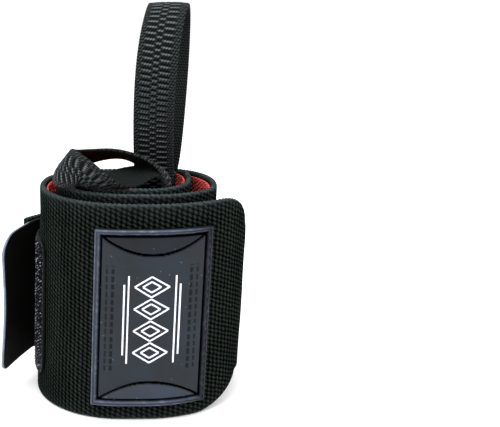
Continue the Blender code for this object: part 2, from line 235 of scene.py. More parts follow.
# One row for each side passed, from the inner end outwards. slack is the free
# room to the turn inside it. start and end bound the straight stretch, as
# shares of the reach of the side just left and of the side ahead.
TURNS = [
    {"side": "back", "slack": 0.0 * MM, "start": 0.66, "end": 0.36},
    {"side": "left", "slack": 0.0 * MM, "start": 0.20, "end": 0.00},
    {"side": "front", "slack": 0.0 * MM, "start": 0.15, "end": 0.30},
    {"side": "right", "slack": 0.0 * MM, "start": 0.10, "end": 0.10},
    {"side": "back", "slack": 6.6 * MM, "start": 0.62, "end": 0.45},
    {"side": "left", "slack": 4.9 * MM, "start": 0.42, "end": -0.35},
    {"side": "front", "slack": 2.4 * MM, "start": 0.00, "end": 0.30},
    {"side": "right", "slack": 6.4 * MM, "start": 0.20, "end": -0.15},
    {"side": "back", "slack": 3.4 * MM, "start": 0.10, "end": 0.45},
    {"side": "left", "slack": 3.4 * MM, "start": 0.45, "end": -0.43},
    {"side": "front", "slack": 1.4 * MM, "start": 0.00, "end": 0.205},
    {"side": "right", "slack": 7.9 * MM, "start": 0.04, "end": 0.20},
    {"side": "back", "slack": 2.4 * MM, "start": 0.35, "end": 0.33},
    {"side": "left", "slack": 8.9 * MM, "start": -0.13, "end": 0.165},
]

# Counted in rows of TURNS: the band stands on the floor from FLOOR_TURN on, and
# has its plain height from FULL_TURN on.
FLOOR_TURN = 8
FULL_TURN = 10

OUTWARD = {
    "back": Vector((0.0, 1.0)),
    "left": Vector((-1.0, 0.0)),
    "front": Vector((0.0, -1.0)),
    "right": Vector((1.0, 0.0)),
}

# Small loop, root to root: along, across and up are shares of its reach,
# spread and crest; heading and pitch aim one edge of the webbing, in degrees;
# bulge is a share of the arch across it. On the way out, the rows from 0.233 to
# 0.606 are set lower and with a smaller pitch than in the solid frame.
SMALL_STATIONS = [
    {"along": 0.000, "across": -0.018, "up": -1.50, "heading": -90, "pitch": 0, "bulge": 0.00},
    {"along": 0.000, "across": -0.018, "up": -0.40, "heading": -90, "pitch": 0, "bulge": 0.00},
    {"along": 0.028, "across": -0.036, "up": 0.22, "heading": -88, "pitch": 0, "bulge": 0.00},
    {"along": 0.117, "across": -0.091, "up": 0.36, "heading": -80, "pitch": -2, "bulge": 0.00},
    {"along": 0.233, "across": -0.264, "up": 0.26, "heading": -66, "pitch": -12, "bulge": -0.20},
    {"along": 0.367, "across": -0.500, "up": 0.10, "heading": -54, "pitch": -18, "bulge": -0.20},
    {"along": 0.511, "across": -0.873, "up": 0.06, "heading": -56, "pitch": 2, "bulge": 0.00},
    {"along": 0.606, "across": -1.036, "up": 0.38, "heading": -62, "pitch": 36, "bulge": 0.30},
    {"along": 0.694, "across": -1.055, "up": 0.71, "heading": -80, "pitch": 70, "bulge": 0.70},
    {"along": 0.806, "across": -0.964, "up": 0.76, "heading": -120, "pitch": 84, "bulge": 0.90},
    {"along": 0.900, "across": -0.736, "up": 0.69, "heading": 31, "pitch": 60, "bulge": 1.00},
    {"along": 0.939, "across": -0.391, "up": 0.62, "heading": 5, "pitch": 50, "bulge": 1.00},
    {"along": 0.906, "across": -0.036, "up": 0.64, "heading": -33, "pitch": 40, "bulge": 0.70},
    {"along": 0.783, "across": 0.136, "up": 0.78, "heading": -73, "pitch": 30, "bulge": 0.30},
    {"along": 0.600, "across": 0.145, "up": 0.93, "heading": -95, "pitch": 18, "bulge": 0.00},
    {"along": 0.433, "across": 0.036, "up": 0.96, "heading": -102, "pitch": 20, "bulge": 0.00},
    {"along": 0.278, "across": -0.091, "up": 0.78, "heading": -104, "pitch": 32, "bulge": 0.00},
    {"along": 0.139, "across": -0.082, "up": 0.58, "heading": -98, "pitch": 30, "bulge": 0.00},
    {"along": 0.028, "across": -0.036, "up": 0.33, "heading": -92, "pitch": 14, "bulge": 0.00},
    {"along": -0.044, "across": -0.023, "up": -0.09, "heading": -90, "pitch": 0, "bulge": 0.00},
    {"along": -0.047, "across": -0.018, "up": -0.50, "heading": -90, "pitch": 0, "bulge": 0.00},
    {"along": -0.047, "across": -0.018, "up": -1.50, "heading": -90, "pitch": 0, "bulge": 0.00},
]


def side_reaches():
    """Distance of each turn's outer face from the roll's middle."""
    reaches = []
    for index, turn in enumerate(TURNS):
        inside = reaches[index - 4] if index >= 4 else CORE[turn["side"]]
        reaches.append(inside + STACK + turn["slack"])
    return reaches


def corner(start, end, side, ahead, steps=24):
    """Quarter ellipse that turns from one side of the roll to the next."""
    depth = (start - end).dot(side)
    width = (end - start).dot(ahead)
    middle = start - side * depth
    points = []
    for step in range(1, steps):
        angle = 0.5 * math.pi * step / steps
        points.append(middle + side * depth * math.cos(angle) + ahead * width * math.sin(angle))
    return points


def roll_path():
    """Plan of the band's outer face, inner end first, with each side's middle."""
    reaches = side_reaches()
    ends = reaches[1:] + [reaches[-1]]
    points = []
    marks = []
    last = len(TURNS) - 1
    for index, turn in enumerate(TURNS):
        side = OUTWARD[turn["side"]]
        ahead = Vector((-side.y, side.x))
        before = reaches[index - 1] if index else CORE["right"] + STACK
        after = ends[index] if index < last else reaches[last - 3]
        begin = side * reaches[index] - ahead * before * turn["start"]
        stop = side * reaches[index] + ahead * after * turn["end"]
        if points:
            previous = OUTWARD[TURNS[index - 1]["side"]]
            points += corner(points[-1], begin, previous, side)
        points.append(begin)
        marks.append(len(points) - 1)
        if (stop - begin).length > 0.1 * MM:
            points.append(stop)
    return points, marks


class RollPath:
    """Positions along the rolled band, by length from its inner end."""

    def __init__(self):
        points, marks = roll_path()
        self.plan = np.array([(p.x, p.y) for p in points])
        hops = np.linalg.norm(np.diff(self.plan, axis=0), axis=1)
        self.length_at = np.concatenate([[0.0], np.cumsum(hops)])
        self.marks = self.length_at[marks]
        self.length = self.length_at[-1]

    def point(self, length):
        x = np.interp(length, self.length_at, self.plan[:, 0])
        y = np.interp(length, self.length_at, self.plan[:, 1])
        return Vector((float(x), float(y)))

    def outward(self, length):
        ahead = self.point(min(length + 0.4 * MM, self.length))
        back = self.point(max(length - 0.4 * MM, 0.0))
        run = (ahead - back).normalized()
        return Vector((run.y, -run.x))

    def find(self, x, low, high):
        """Length at which the path reaches x, between two lengths."""
        lengths = np.linspace(low, high, 400)
        gaps = [abs(self.point(length).x - x) for length in lengths]
        return float(lengths[int(np.argmin(gaps))])

    def place(self, length, offset, height):
        """World position on the leaning roll, offset outwards from its face."""
        plan = self.point(length) + self.outward(length) * offset
        return Vector((plan.x + LEAN * (height - 0.5 * BAND_WIDTH), plan.y, height))


PATH = RollPath()
SHOULDER_START = PATH.find(SHOULDER_FROM_MIDDLE, PATH.marks[10], PATH.marks[11])
CORNER_START = PATH.find(CORNER_FROM_MIDDLE, PATH.marks[10], PATH.marks[11])
TAIL_END = PATH.length - TAB_REACH


def shoulder(length, start, reach, power, root):
    """Share of a rounded shoulder's drop at a length along the band, 0 to 1."""
    share = min(max((length - start) / reach, 0.0), 1.0)
    return 1.0 - (1.0 - share ** power) ** root


def edge_heights(length):
    """Foot and top of the band at a length along it."""
    turn = float(np.interp(length, PATH.marks, range(len(PATH.marks))))
    rise = CORE_RISE * max(FLOOR_TURN - turn, 0.0) / FLOOR_TURN
    ease = min(max((FULL_TURN - turn) / (FULL_TURN - FLOOR_TURN), 0.0), 1.0)
    foot = rise
    top = BAND_WIDTH + rise + TURN_RISE * ease
    climb = shoulder(length, SHOULDER_START, SHOULDER_LENGTH, 1.3, 0.625)
    foot += (TAIL_FOOT - foot) * climb
    drop = shoulder(length, CORNER_START, CORNER_LENGTH, 2.0, 0.5)
    top += (TAIL_FOOT + TAIL_WIDTH - top) * drop
    return foot, top


def plain_box():
    """Lowest corner of the plain band, to line the roll up with the frame."""
    low = Vector((1.0, 1.0, 1.0))
    for length in PATH.length_at:
        if length > TAIL_END:
            break
        for height in edge_heights(length):
            for offset in (0.0, -BAND_WALL):
                point = PATH.place(length, offset, height)
                low = Vector(map(min, low, point))
    return low


ORIGIN = Vector(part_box("band")[0]) - plain_box()


# Mesh building

def new_object(name, points, faces, uvs, material, smooth):
    """Object from arrays, with one UV in metres for each vertex."""
    mesh = bpy.data.meshes.new(name)
    mesh.from_pydata(points.tolist(), [], faces.tolist())
    layer = mesh.uv_layers.new(name="cloth")
    corners = np.empty(len(mesh.loops), dtype=np.int32)
    mesh.loops.foreach_get("vertex_index", corners)
    layer.uv.foreach_set("vector", uvs[corners].astype(np.float32).ravel())
    mesh.validate()
    mesh.shade_smooth()
    mesh.set_sharp_from_angle(angle=math.radians(smooth))
    mesh.materials.append(material)
    obj = bpy.data.objects.new(name, mesh)
    bpy.context.collection.objects.link(obj)
    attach(obj, "root")
    return obj


def grid_faces(rows, columns, first=0, flip=False):
    """Quads of a grid whose vertices run column by column within a row."""
    i, j = np.meshgrid(np.arange(rows - 1), np.arange(columns - 1), indexing="ij")
    a = (first + i * columns + j).ravel()
    quads = np.stack([a, a + 1, a + columns + 1, a + columns], axis=1)
    return quads[:, ::-1] if flip else quads


def closed_shell(face, back, uv):
    """Closed mesh between two grids of points with the same rows and columns."""
    rows, columns = face.shape[:2]
    count = rows * columns
    points = np.concatenate([face.reshape(-1, 3), back.reshape(-1, 3)])
    uvs = np.concatenate([uv.reshape(-1, 2), uv.reshape(-1, 2)])
    index = np.arange(count).reshape(rows, columns)
    border = np.concatenate([index[0, :], index[1:, -1], index[-1, -2::-1], index[-2:0:-1, 0]])
    after = np.roll(border, -1)
    walls = np.stack([after, border, border + count, after + count], axis=1)
    faces = np.concatenate([
        grid_faces(rows, columns),
        grid_faces(rows, columns, count, True),
        walls,
    ])
    return points, faces, uvs


def outward_faces(points, faces):
    """The faces, turned over if the closed mesh is inside out."""
    a = points[faces[:, 0]]
    volume = 0.0
    for second in (1, 2):
        b = points[faces[:, second]]
        c = points[faces[:, second + 1]]
        volume += float(np.einsum("ij,ij->i", a, np.cross(b, c)).sum())
    return faces if volume > 0.0 else faces[:, ::-1]


def shell_object(name, face, back, uv, material, smooth):
    """Object with a closed mesh between two grids of points."""
    points, faces, uvs = closed_shell(face, back, uv)
    faces = outward_faces(points, faces)
    return new_object(name, points, faces, uvs, material, smooth)


def add_tone(obj, name, sides):
    """Number for each vertex, kept for the material, from the face's and back's grids."""
    layer = obj.data.attributes.new(name, "FLOAT", "POINT")
    layer.data.foreach_set("value", np.concatenate(sides).astype(np.float32).ravel())


def plan_at(lengths):
    """Plan places on the roll's outer face for an array of lengths."""
    return np.stack([np.interp(lengths, PATH.length_at, row) for row in PATH.plan.T], axis=-1)


def roll_points(lengths, heights, offsets):
    """World points on the roll for arrays of length, height and offset."""
    plan = plan_at(lengths)
    run = plan_at(lengths + 0.5 * MM) - plan_at(lengths - 0.5 * MM)
    run /= np.linalg.norm(run, axis=-1, keepdims=True)
    x = plan[..., 0] + run[..., 1] * offsets + LEAN * (heights - 0.5 * BAND_WIDTH)
    y = plan[..., 1] - run[..., 0] * offsets
    return np.stack([x, y, heights], axis=-1) + np.array(ORIGIN)


def roll_shell(name, along, heights, outer, inner, material, smooth):
    """Closed sheet on the roll between two offsets from the band's outer face."""
    face, back = [roll_points(along, heights, offset) for offset in (outer, inner)]
    uv = np.stack([along, heights], axis=-1)
    return shell_object(name, face, back, uv, material, smooth)


def waves(a, b, sizes, seed):
    """Smooth seeded unevenness over two arrays of lengths, about -1 to 1."""
    random = np.random.default_rng(seed)
    total = np.zeros(np.broadcast(a, b).shape)
    for size in sizes:
        for _ in range(3):
            turn = random.uniform(0.0, math.tau)
            phase = random.uniform(0.0, math.tau)
            run = a * math.cos(turn) + b * math.sin(turn)
            total = total + np.sin(math.tau * run / size + phase)
    return total / (1.7 * len(sizes))


def edge_round(distance, wall):
    """How far a face draws in near a cut edge, so that the edge is round."""
    radius = 0.5 * wall
    near = np.clip(radius - distance, 0.0, radius)
    return radius - np.sqrt(np.maximum(radius ** 2 - near ** 2, 0.0))


def rim_rows(height, row, wall):
    """Heights from foot to top, close together at the two rounded edges."""
    edge = wall * np.array([0.0, 0.07, 0.2, 0.38, 0.6])
    inner = np.arange(edge[-1] + row, height - edge[-1] - 0.5 * row, row)
    return np.concatenate([edge, inner, height - edge[::-1]])


# Stations and rows of the rolled strips

def knit_stations(low, high, step):
    """Lengths from one to another, about a step apart."""
    return np.linspace(low, high, int(round((high - low) / step)) + 1)


def strip_heights(lengths, inset=0.0):
    """Foot and top of the band at each length."""
    pairs = np.array([edge_heights(length) for length in lengths])
    return pairs[:, 0] + inset, pairs[:, 1] - inset


# Pieces that the operators make

def make_band(sizes, colours):
    """Knit band with rounded, serrated selvages and a slightly uneven face."""
    lengths = knit_stations(0.0, TAIL_END, KNIT_STEP)
    foot, top = strip_heights(lengths)
    rows = rim_rows(BAND_WIDTH, KNIT_ROW, BAND_WALL)
    share = rows / BAND_WIDTH
    heights = foot[:, None] + (top - foot)[:, None] * share[None, :]
    from_edge = np.minimum(rows, BAND_WIDTH - rows)[None, :]
    tooth = np.where(np.arange(len(lengths)) % 2, 1.0, -1.0)[:, None]
    serration = sizes.serration * tooth * np.exp(-from_edge / SELVAGE_WIDTH)
    lift = np.where(share[None, :] > 0.5, serration, np.abs(serration) * 0.5)
    along = lengths[:, None] + 0.0 * heights
    draw = edge_round(from_edge, BAND_WALL)
    uneven = waves(along, heights, BAND_WAVES, 4) * sizes.waviness
    calm = np.clip(from_edge / (8 * MM), 0.0, 1.0)
    crease = CREASE_DEPTH * np.exp(-((from_edge - CREASE_INSET) / CREASE_WIDTH) ** 2)
    ripple = RIPPLE_HEIGHT * tooth * (1.0 - np.exp(-from_edge / (2 * MM)))
    outer = -draw + np.minimum(uneven * calm, 0.1 * MM) - crease + ripple
    inner = -BAND_WALL + draw
    heights = heights + lift
    obj = roll_shell("knit_band", along, heights, outer, inner, black_knit(colours), 60)
    # Painted shadow on the middle turn's stretch under the outer turn, from about 1 mm below its top
    # downwards
    from_ends = np.minimum(along - PATH.marks[5], PATH.marks[7] - along)
    covered = np.clip(from_ends / PAINTED_SHADOW_FADE, 0.0, 1.0)
    covered = covered * np.clip((BAND_WIDTH - rows - MM) / (2 * MM), 0.0, 1.0)[None, :]
    add_tone(obj, "covered", (covered, covered))
    # Painted highlight along the selvages, fading within about 1 mm of each edge
    selvage = np.exp(-(from_edge / SELVAGE_WIDTH) ** 2) + 0.0 * along
    add_tone(obj, "selvage", (selvage, selvage))
    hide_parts("band")
    return obj


def make_lining(sizes, colours):
    """Red knit inner face, bumpy with small loops."""
    lengths = knit_stations(LINING_INSET, TAIL_END - LINING_INSET, LINING_STEP)
    foot, top = strip_heights(lengths, LINING_INSET)
    fine = np.arange(0.0, LINING_SHOWN, LINING_STEP)
    coarse = np.arange(LINING_SHOWN, BAND_WIDTH - 1.5 * LINING_ROW, LINING_ROW)
    from_top = np.concatenate([fine, coarse, [BAND_WIDTH - 2 * LINING_INSET]])
    share = 1.0 - from_top[::-1] / from_top[-1]
    heights = foot[:, None] + (top - foot)[:, None] * share[None, :]
    along = lengths[:, None] + 0.0 * heights
    random = np.random.default_rng(11)
    check = np.where((np.arange(len(lengths))[:, None] + np.arange(len(share))[None, :]) % 2, 1, -1)
    bump = sizes.terry * (check + random.uniform(-0.8, 0.8, heights.shape))
    edge = np.minimum(share, 1.0 - share)[None, :] * from_top[-1]
    bump = bump * np.clip(edge / (0.8 * MM), 0.0, 1.0)
    outer = -BAND_WALL - FIT_GAP
    inner = -STACK + 0.1 * MM + bump
    obj = roll_shell("red_knit_face", along, heights, outer, inner, red_knit(colours), 60)
    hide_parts("red_inner_face")
    return obj


def badge_point(start, along, up, rise):
    """World points on the badge's face, from its foot left corner."""
    offsets = FIT_GAP + BADGE_WALL + rise
    return roll_points(start + along, BADGE_FOOT + up, offsets)


def badge_start():
    """Length along the band at which the badge begins."""
    centre = PATH.find(BADGE_FROM_MIDDLE, PATH.marks[9], PATH.marks[11])
    return centre - 0.5 * BADGE_WIDTH


def groove(distance, width, depth):
    """Moulded groove of a width and depth at a signed distance."""
    return -depth * np.exp(-(distance / (0.5 * width)) ** 4)


def badge_bounds(along, up):
    """Distance from the badge's edge, and height of the arcs' bow over the lip."""
    sides = np.minimum(along, BADGE_WIDTH - along)
    edge = np.minimum(sides, np.minimum(up, BADGE_HEIGHT - up))
    half = 0.5 * BADGE_WIDTH - LIP_WIDTH
    return edge, ARC_DEPTH * (1.0 - ((along - 0.5 * BADGE_WIDTH) / half) ** 2)


def badge_rise(along, up, sizes):
    """Relief of the moulded face: lip, grooves, arcs and debossed dashes."""
    edge, bow = badge_bounds(along, up)
    lip = np.clip((LIP_WIDTH - edge) / LIP_SLOPE, 0.0, 1.0)
    rise = sizes.lip_rise * lip * lip * (3.0 - 2.0 * lip)
    rise -= edge_round(edge, PLATE_EDGE)
    rise += groove(edge - LIP_WIDTH - 0.45 * MM, **RIM_GROOVE)
    inside = edge > LIP_WIDTH + RIM_GROOVE["width"]
    for end in (up, BADGE_HEIGHT - up):
        rise += inside * groove(end - LIP_WIDTH - bow, **ARC_GROOVE)
    dash = np.abs((up + 0.25 * DASH_PITCH) % DASH_PITCH - 0.5 * DASH_PITCH)
    shown = (dash < 0.5 * DASH_SHARE * DASH_PITCH) & (np.abs(up - 0.5 * BADGE_HEIGHT) < 0.5 * DASH_REACH)
    for column in DASH_COLUMNS:
        for side in (-DASH_SPREAD, DASH_SPREAD):
            near = np.abs(along - column - side) < 0.5 * DASH_WIDTH
            rise -= DASH_DEPTH * (near & shown)
    return rise


def badge_tones(along, up, rise):
    """Two tones of the moulding: shade from 0 light to 1 black, painted black in the grooves as shade,
    and painted highlights on the lip's crests.
    """
    edge, bow = badge_bounds(along, up)
    shade = np.full(along.shape, FIELD_SHADE)
    # Painted reflection on the foot arc, painted shade on the top arc, and on the lip painted shade that
    # grows towards its far side
    shade[up < LIP_WIDTH + bow] = FOOT_ARC_PAINTED_LIGHT
    shade[BADGE_HEIGHT - up < LIP_WIDTH + bow] = TOP_ARC_PAINTED_SHADE
    on_lip = edge < LIP_WIDTH
    far = np.clip((along - 0.5 * BADGE_WIDTH) / (0.5 * BADGE_WIDTH - LIP_WIDTH), 0.0, 1.0) ** 3
    shade[on_lip] = (LIP_SHADE + (FAR_LIP_PAINTED_SHADE - LIP_SHADE) * far)[on_lip]
    # Painted shade in the grooves: black where they are 0.15 mm deep or more, away from the plate's
    # outer 0.8 mm
    cut = np.clip(-rise / (0.15 * MM), 0.0, 1.0) * (edge > 0.8 * MM)
    shade += (1.0 - shade) * cut
    # Painted highlight lines along the lip's outer and inner crests, uneven in strength and weaker
    # towards the far side
    crests = np.zeros(along.shape)
    for crest in (0.35 * MM, LIP_WIDTH - 0.1 * MM):
        crests += np.exp(-((edge - crest) / (0.2 * MM)) ** 2)
    shine = 0.25 + 0.3 * waves(along, up, (0.002, 0.005), 21).clip(0.0, 1.0)
    return shade, crests * (1.0 - 0.7 * far) * shine


def make_badge(sizes, colours):
    """Moulded rubber plate with a raised lip and grooved arcs."""
    along, up = np.meshgrid(*(np.linspace(0.0, size, int(size / BADGE_STEP))
                              for size in (BADGE_WIDTH, BADGE_HEIGHT)), indexing="ij")
    start = badge_start()
    rise = badge_rise(along, up, sizes)
    face = badge_point(start, along, up, rise)
    back = badge_point(start, along, up, -BADGE_WALL + 0.0 * up)
    uv = np.stack([along, up], axis=-1)
    obj = shell_object("rubber_badge", face, back, uv, moulded_rubber(colours), 50)
    # Painted light and shade tones of the moulding, and its painted crest highlights
    shade, painted_crest_highlight = badge_tones(along, up, rise)
    add_tone(obj, "shade", (shade, 0.5 + 0.0 * shade))
    add_tone(obj, "painted_crest_highlight", (painted_crest_highlight, 0.0 * painted_crest_highlight))
    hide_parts("badge")
    return obj


def join_shells(name, shells, material, smooth):
    """One object from many small closed meshes."""
    points, faces, uvs = [], [], []
    first = 0
    for shell_points, shell_faces, shell_uvs in shells:
        points.append(shell_points)
        faces.append(outward_faces(shell_points, shell_faces) + first)
        uvs.append(shell_uvs)
        first += len(shell_points)
    return new_object(name, np.concatenate(points), np.concatenate(faces), np.concatenate(uvs),
                      material, smooth)


def inlay_bar(start, ends, width, rise, steps=8):
    """Raised painted bar between two points of the badge's face."""
    (x0, y0), (x1, y1) = ends
    run = np.array([x1 - x0, y1 - y0])
    run = run / np.linalg.norm(run)
    side = np.array([-run[1], run[0]])
    t = np.linspace(0.0, 1.0, steps)[:, None]
    offset = np.array([-0.5, -0.35, 0.0, 0.35, 0.5])[None, :]
    along = x0 + (x1 - x0) * t + side[0] * offset * width
    up = y0 + (y1 - y0) * t + side[1] * offset * width
    crown = np.where(np.abs(offset) < 0.4, rise, 0.4 * rise) + 0.0 * along
    face = badge_point(start, along, up, crown)
    back = badge_point(start, along, up, -0.15 * MM + 0.0 * along)
    return closed_shell(face, back, np.stack([along, up], axis=-1))


def make_inlay(sizes, colours):
    """Generic pale inlay: a ladder of lozenges between upright rails."""
    start = badge_start()
    middle = 0.5 * BADGE_WIDTH
    low, high = INLAY_MARGIN, BADGE_HEIGHT - INLAY_MARGIN
    bars = []
    for side in (-1.0, 1.0):
        for rail in INLAY_RAILS:
            x = middle + side * rail["reach"]
            bars.append(((x, low + rail["inset"]), (x, high - rail["inset"])))
    pitch = (high - low) / LOZENGES
    for index in range(LOZENGES):
        centre = low + (index + 0.5) * pitch
        for scale in LOZENGE_SCALES:
            wide = LOZENGE_REACH * scale
            tall = LOZENGE_HEIGHT * pitch * scale
            corners = [(middle - wide, centre), (middle, centre + tall),
                       (middle + wide, centre), (middle, centre - tall)]
            bars += zip(corners, corners[1:] + corners[:1])
    shells = [inlay_bar(start, ends, INLAY_WIDTH, INLAY_RISE) for ends in bars]
    return join_shells("badge_inlay", shells, pale_paint(colours), 50)


def plate_grid(start, length, foot, height, radii, step, row):
    """Lengths, heights and edge distances over a plate with rounded corners.

    radii runs foot start, top start, top end, foot end.
    """
    share = np.linspace(0.0, 1.0, int(length / step))
    ends = 0.5 - 0.5 * np.cos(np.pi * share)
    station = length * (0.6 * share + 0.4 * ends)
    insets = [edge_round(distance, 2.0 * radius) for distance, radius in zip(
        (station, station, length - station, length - station), radii)]
    low = np.maximum(insets[0], insets[3])
    high = np.maximum(insets[1], insets[2])
    rows = rim_rows(height, row, 1.0 * MM) / height
    heights = (foot + low)[:, None] + (height - low - high)[:, None] * rows[None, :]
    along = station[:, None] + 0.0 * heights
    from_edge = np.minimum(
        np.minimum(along, length - along),
        np.minimum(heights - foot - low[:, None], foot + height - high[:, None] - heights),
    )
    return start + along, heights, from_edge


def tab_frame():
    """Start, length, foot and corner radii of the tab."""
    start = TAIL_END - TAB_OVERLAP
    foot = TAIL_FOOT + 0.5 * (TAIL_WIDTH - TAB_HEIGHT)
    radii = (TAB_FOOT_CORNER, TAB_FOOT_CORNER, TAB_TOP_CORNER, TAB_FOOT_CORNER)
    return start, TAB_OVERLAP + TAB_REACH, foot, radii


def tab_flare(lengths, heights):
    """How far the free part of the tab springs outwards, bowed over its height."""
    share = np.clip((lengths - TAIL_END) / TAB_REACH, 0.0, 1.0)
    middle = np.clip((heights - TAIL_FOOT) / TAB_HEIGHT, 0.0, 1.0)
    return (TAB_FLARE - TAB_BOW * np.sin(math.pi * middle) ** 2) * share ** 2


def tab_droop(lengths):
    """How far the free part of the tab hangs down at a length."""
    return TAB_DROOP * np.clip((lengths - TAIL_END) / TAB_REACH, 0.0, 1.0)


def make_tab(sizes, colours):
    """Stiff smooth closing tab, thinner towards its cut edges."""
    start, length, foot, radii = tab_frame()
    along, heights, from_edge = plate_grid(start, length, foot, TAB_HEIGHT, radii, TAB_STEP, TAB_ROW)
    draw = edge_round(from_edge, 0.9 * TAB_WALL)
    uneven = waves(along, heights, TAB_WAVES, 8) * TAB_UNEVEN
    calm = np.clip(from_edge / (5 * MM), 0.0, 1.0)
    outer = -STACK - FIT_GAP - draw - 0.05 * MM
    inner = -STACK - FIT_GAP - TAB_WALL + draw + np.maximum(uneven * calm, -0.1 * MM)
    flare = tab_flare(along, heights)
    hung = heights - tab_droop(along)
    face = roll_points(along, hung, outer + flare)
    back = roll_points(along, hung, inner + flare)
    uv = np.stack([along, heights], axis=-1)
    obj = shell_object("closing_tab", face, back, uv, tab_strip(colours), 50)
    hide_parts("hook_tab")
    return obj


def tube_along(points, radius, sides=8, up=(0.0, 0.0, 1.0)):
    """Closed tube of a radius along world points, its ring laid out from up.

    Where the tube runs along up, the y axis stands in for it.
    """
    points = np.asarray(points)
    run = np.gradient(points, axis=0)
    run /= np.linalg.norm(run, axis=1, keepdims=True)
    side = np.cross(run, np.array(up))
    flat = np.linalg.norm(side, axis=1) < 0.2
    side[flat] = np.cross(run[flat], np.array([0.0, 1.0, 0.0]))
    side /= np.linalg.norm(side, axis=1, keepdims=True)
    third = np.cross(side, run)
    angle = math.tau * np.arange(sides) / sides
    reach = radius * np.ones(len(points))
    reach[[0, -1]] *= 0.35
    ring = (side[:, None, :] * np.cos(angle)[None, :, None]
            + third[:, None, :] * np.sin(angle)[None, :, None]) * reach[:, None, None]
    ring = ring + points[:, None, :]
    count = len(points)
    faces = []
    for i in range(count - 1):
        for j in range(sides):
            k = (j + 1) % sides
            faces.append((i * sides + j, i * sides + k, (i + 1) * sides + k, (i + 1) * sides + j))
    half = sides // 2
    for end in (0, (count - 1) * sides):
        for j in range(half - 1):
            quad = (end + j, end + j + 1, end + sides - 2 - j, end + sides - 1 - j)
            faces.append(quad if end else quad[::-1])
    lengths = np.concatenate([[0.0], np.cumsum(np.linalg.norm(np.diff(points, axis=0), axis=1))])
    uvs = np.stack([np.repeat(lengths, sides), np.tile(angle * radius, count)], axis=1)
    return ring.reshape(-1, 3), np.array(faces), uvs


def make_tab_rim(sizes, colours):
    """Pale moulded bead round the tab's free edge."""
    start, length, foot, radii = tab_frame()
    end = start + length - RIM_INSET
    top = foot + TAB_HEIGHT - RIM_INSET
    round_top = radii[2] - RIM_INSET
    round_foot = radii[3] - RIM_INSET
    track = [(place, top) for place in np.linspace(TAIL_END + MM, end - round_top, 5, endpoint=False)]
    for angle in np.linspace(0.0, 0.5 * math.pi, 18):
        track.append((end - round_top * (1.0 - math.sin(angle)),
                      top - round_top * (1.0 - math.cos(angle))))
    for height in np.linspace(top - round_top - 1.4 * MM, foot + radii[3] + MM, 30):
        track.append((end, height))
    for angle in np.linspace(0.0, 0.5 * math.pi, 8):
        track.append((end - round_foot * (1.0 - math.cos(angle)),
                      foot + radii[3] - round_foot * math.sin(angle)))
    track = np.array(track)
    offsets = np.full(len(track), -STACK - FIT_GAP - 0.5 * TAB_WALL)
    hung = track[:, 1] - tab_droop(track[:, 0])
    points = roll_points(track[:, 0], hung, offsets + tab_flare(track[:, 0], track[:, 1]))
    shell = tube_along(points, sizes.rim_radius, 10, up=(1.0, 0.0, 0.0))
    return join_shells("tab_rim", [shell], pale_rim(colours), 60)


def pad_start():
    """Length along the band at which the hook patch begins."""
    return PATH.find(-PAD_FROM_MIDDLE, PATH.marks[9], PATH.marks[10]) - PAD_LENGTH


def make_pad(sizes, colours):
    """Hook patch: a woven base with a field of tiny hooks."""
    start = pad_start()
    radii = (PAD_CORNER,) * 4
    along, heights, from_edge = plate_grid(start, PAD_LENGTH, PAD_FOOT, PAD_HEIGHT, radii,
                                           PAD_STEP, PAD_ROW)
    outer = FIT_GAP + PAD_BASE - edge_round(from_edge, 0.8 * MM)
    obj = roll_shell("hook_patch", along, heights, outer, 0.15 * MM, hook_base(), 50)
    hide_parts("hook_pad")
    random = np.random.default_rng(5)
    shells = []
    pitch = sizes.hook_pitch
    for column, x in enumerate(np.arange(HOOK_START, PAD_LENGTH - HOOK_MARGIN, pitch)):
        for z in np.arange(HOOK_START, PAD_HEIGHT - HOOK_MARGIN, pitch):
            z_hook = z + 0.5 * pitch * (column % 2)
            from_side = min(x, PAD_LENGTH - x)
            from_end = min(z_hook, PAD_HEIGHT - z_hook)
            gap = math.hypot(max(PAD_CORNER - from_side, 0.0), max(PAD_CORNER - from_end, 0.0))
            if from_end < HOOK_MARGIN or gap > PAD_CORNER - HOOK_MARGIN:
                continue
            dx, dz = random.uniform(-HOOK_SHIFT, HOOK_SHIFT, 2)
            foot_at = (start + x + dx, PAD_FOOT + z_hook + dz)
            bend = random.uniform(*HOOK_BEND) * random.choice((-1.0, 1.0))
            lengths = np.array([foot_at[0], foot_at[0], foot_at[0] + 0.5 * bend, foot_at[0] + bend])
            rises = FIT_GAP + PAD_BASE + np.array(HOOK_RISES_MM) * MM
            points = roll_points(lengths, np.full(4, foot_at[1]), rises)
            shells.append(tube_along(points, HOOK_RADIUS, 4))
    join_shells("patch_hooks", shells, hook_plastic(colours), 80)
    return obj


def stitch_track(points, sink_mm, pitch, length, radius):
    """Stitches along world points, each dipping into the cloth at its ends."""
    points = np.asarray(points)
    hops = np.linalg.norm(np.diff(points, axis=0), axis=1)
    at = np.concatenate([[0.0], np.cumsum(hops)])
    shells = []
    for first in np.arange(0.3 * pitch, at[-1] - length, pitch):
        share = np.linspace(0.0, 1.0, 5)
        places = np.stack([np.interp(first + share * length, at, column) for column in points.T], axis=1)
        places[[0, -1]] += np.array(sink_mm) * MM
        shells.append(tube_along(places, radius, 6))
    return shells


def roll_track(pairs, offset):
    """World points on the roll for (length, height) corners, closely spaced."""
    pairs = np.array(pairs)
    places = []
    for first, second in zip(pairs, pairs[1:]):
        count = max(int(np.abs(second - first).max() / (1.0 * MM)), 2)
        places.append(first + (second - first) * np.linspace(0.0, 1.0, count, endpoint=False)[:, None])
    places.append(pairs[-1:])
    places = np.concatenate(places)
    return roll_points(places[:, 0], places[:, 1], np.full(len(places), offset))


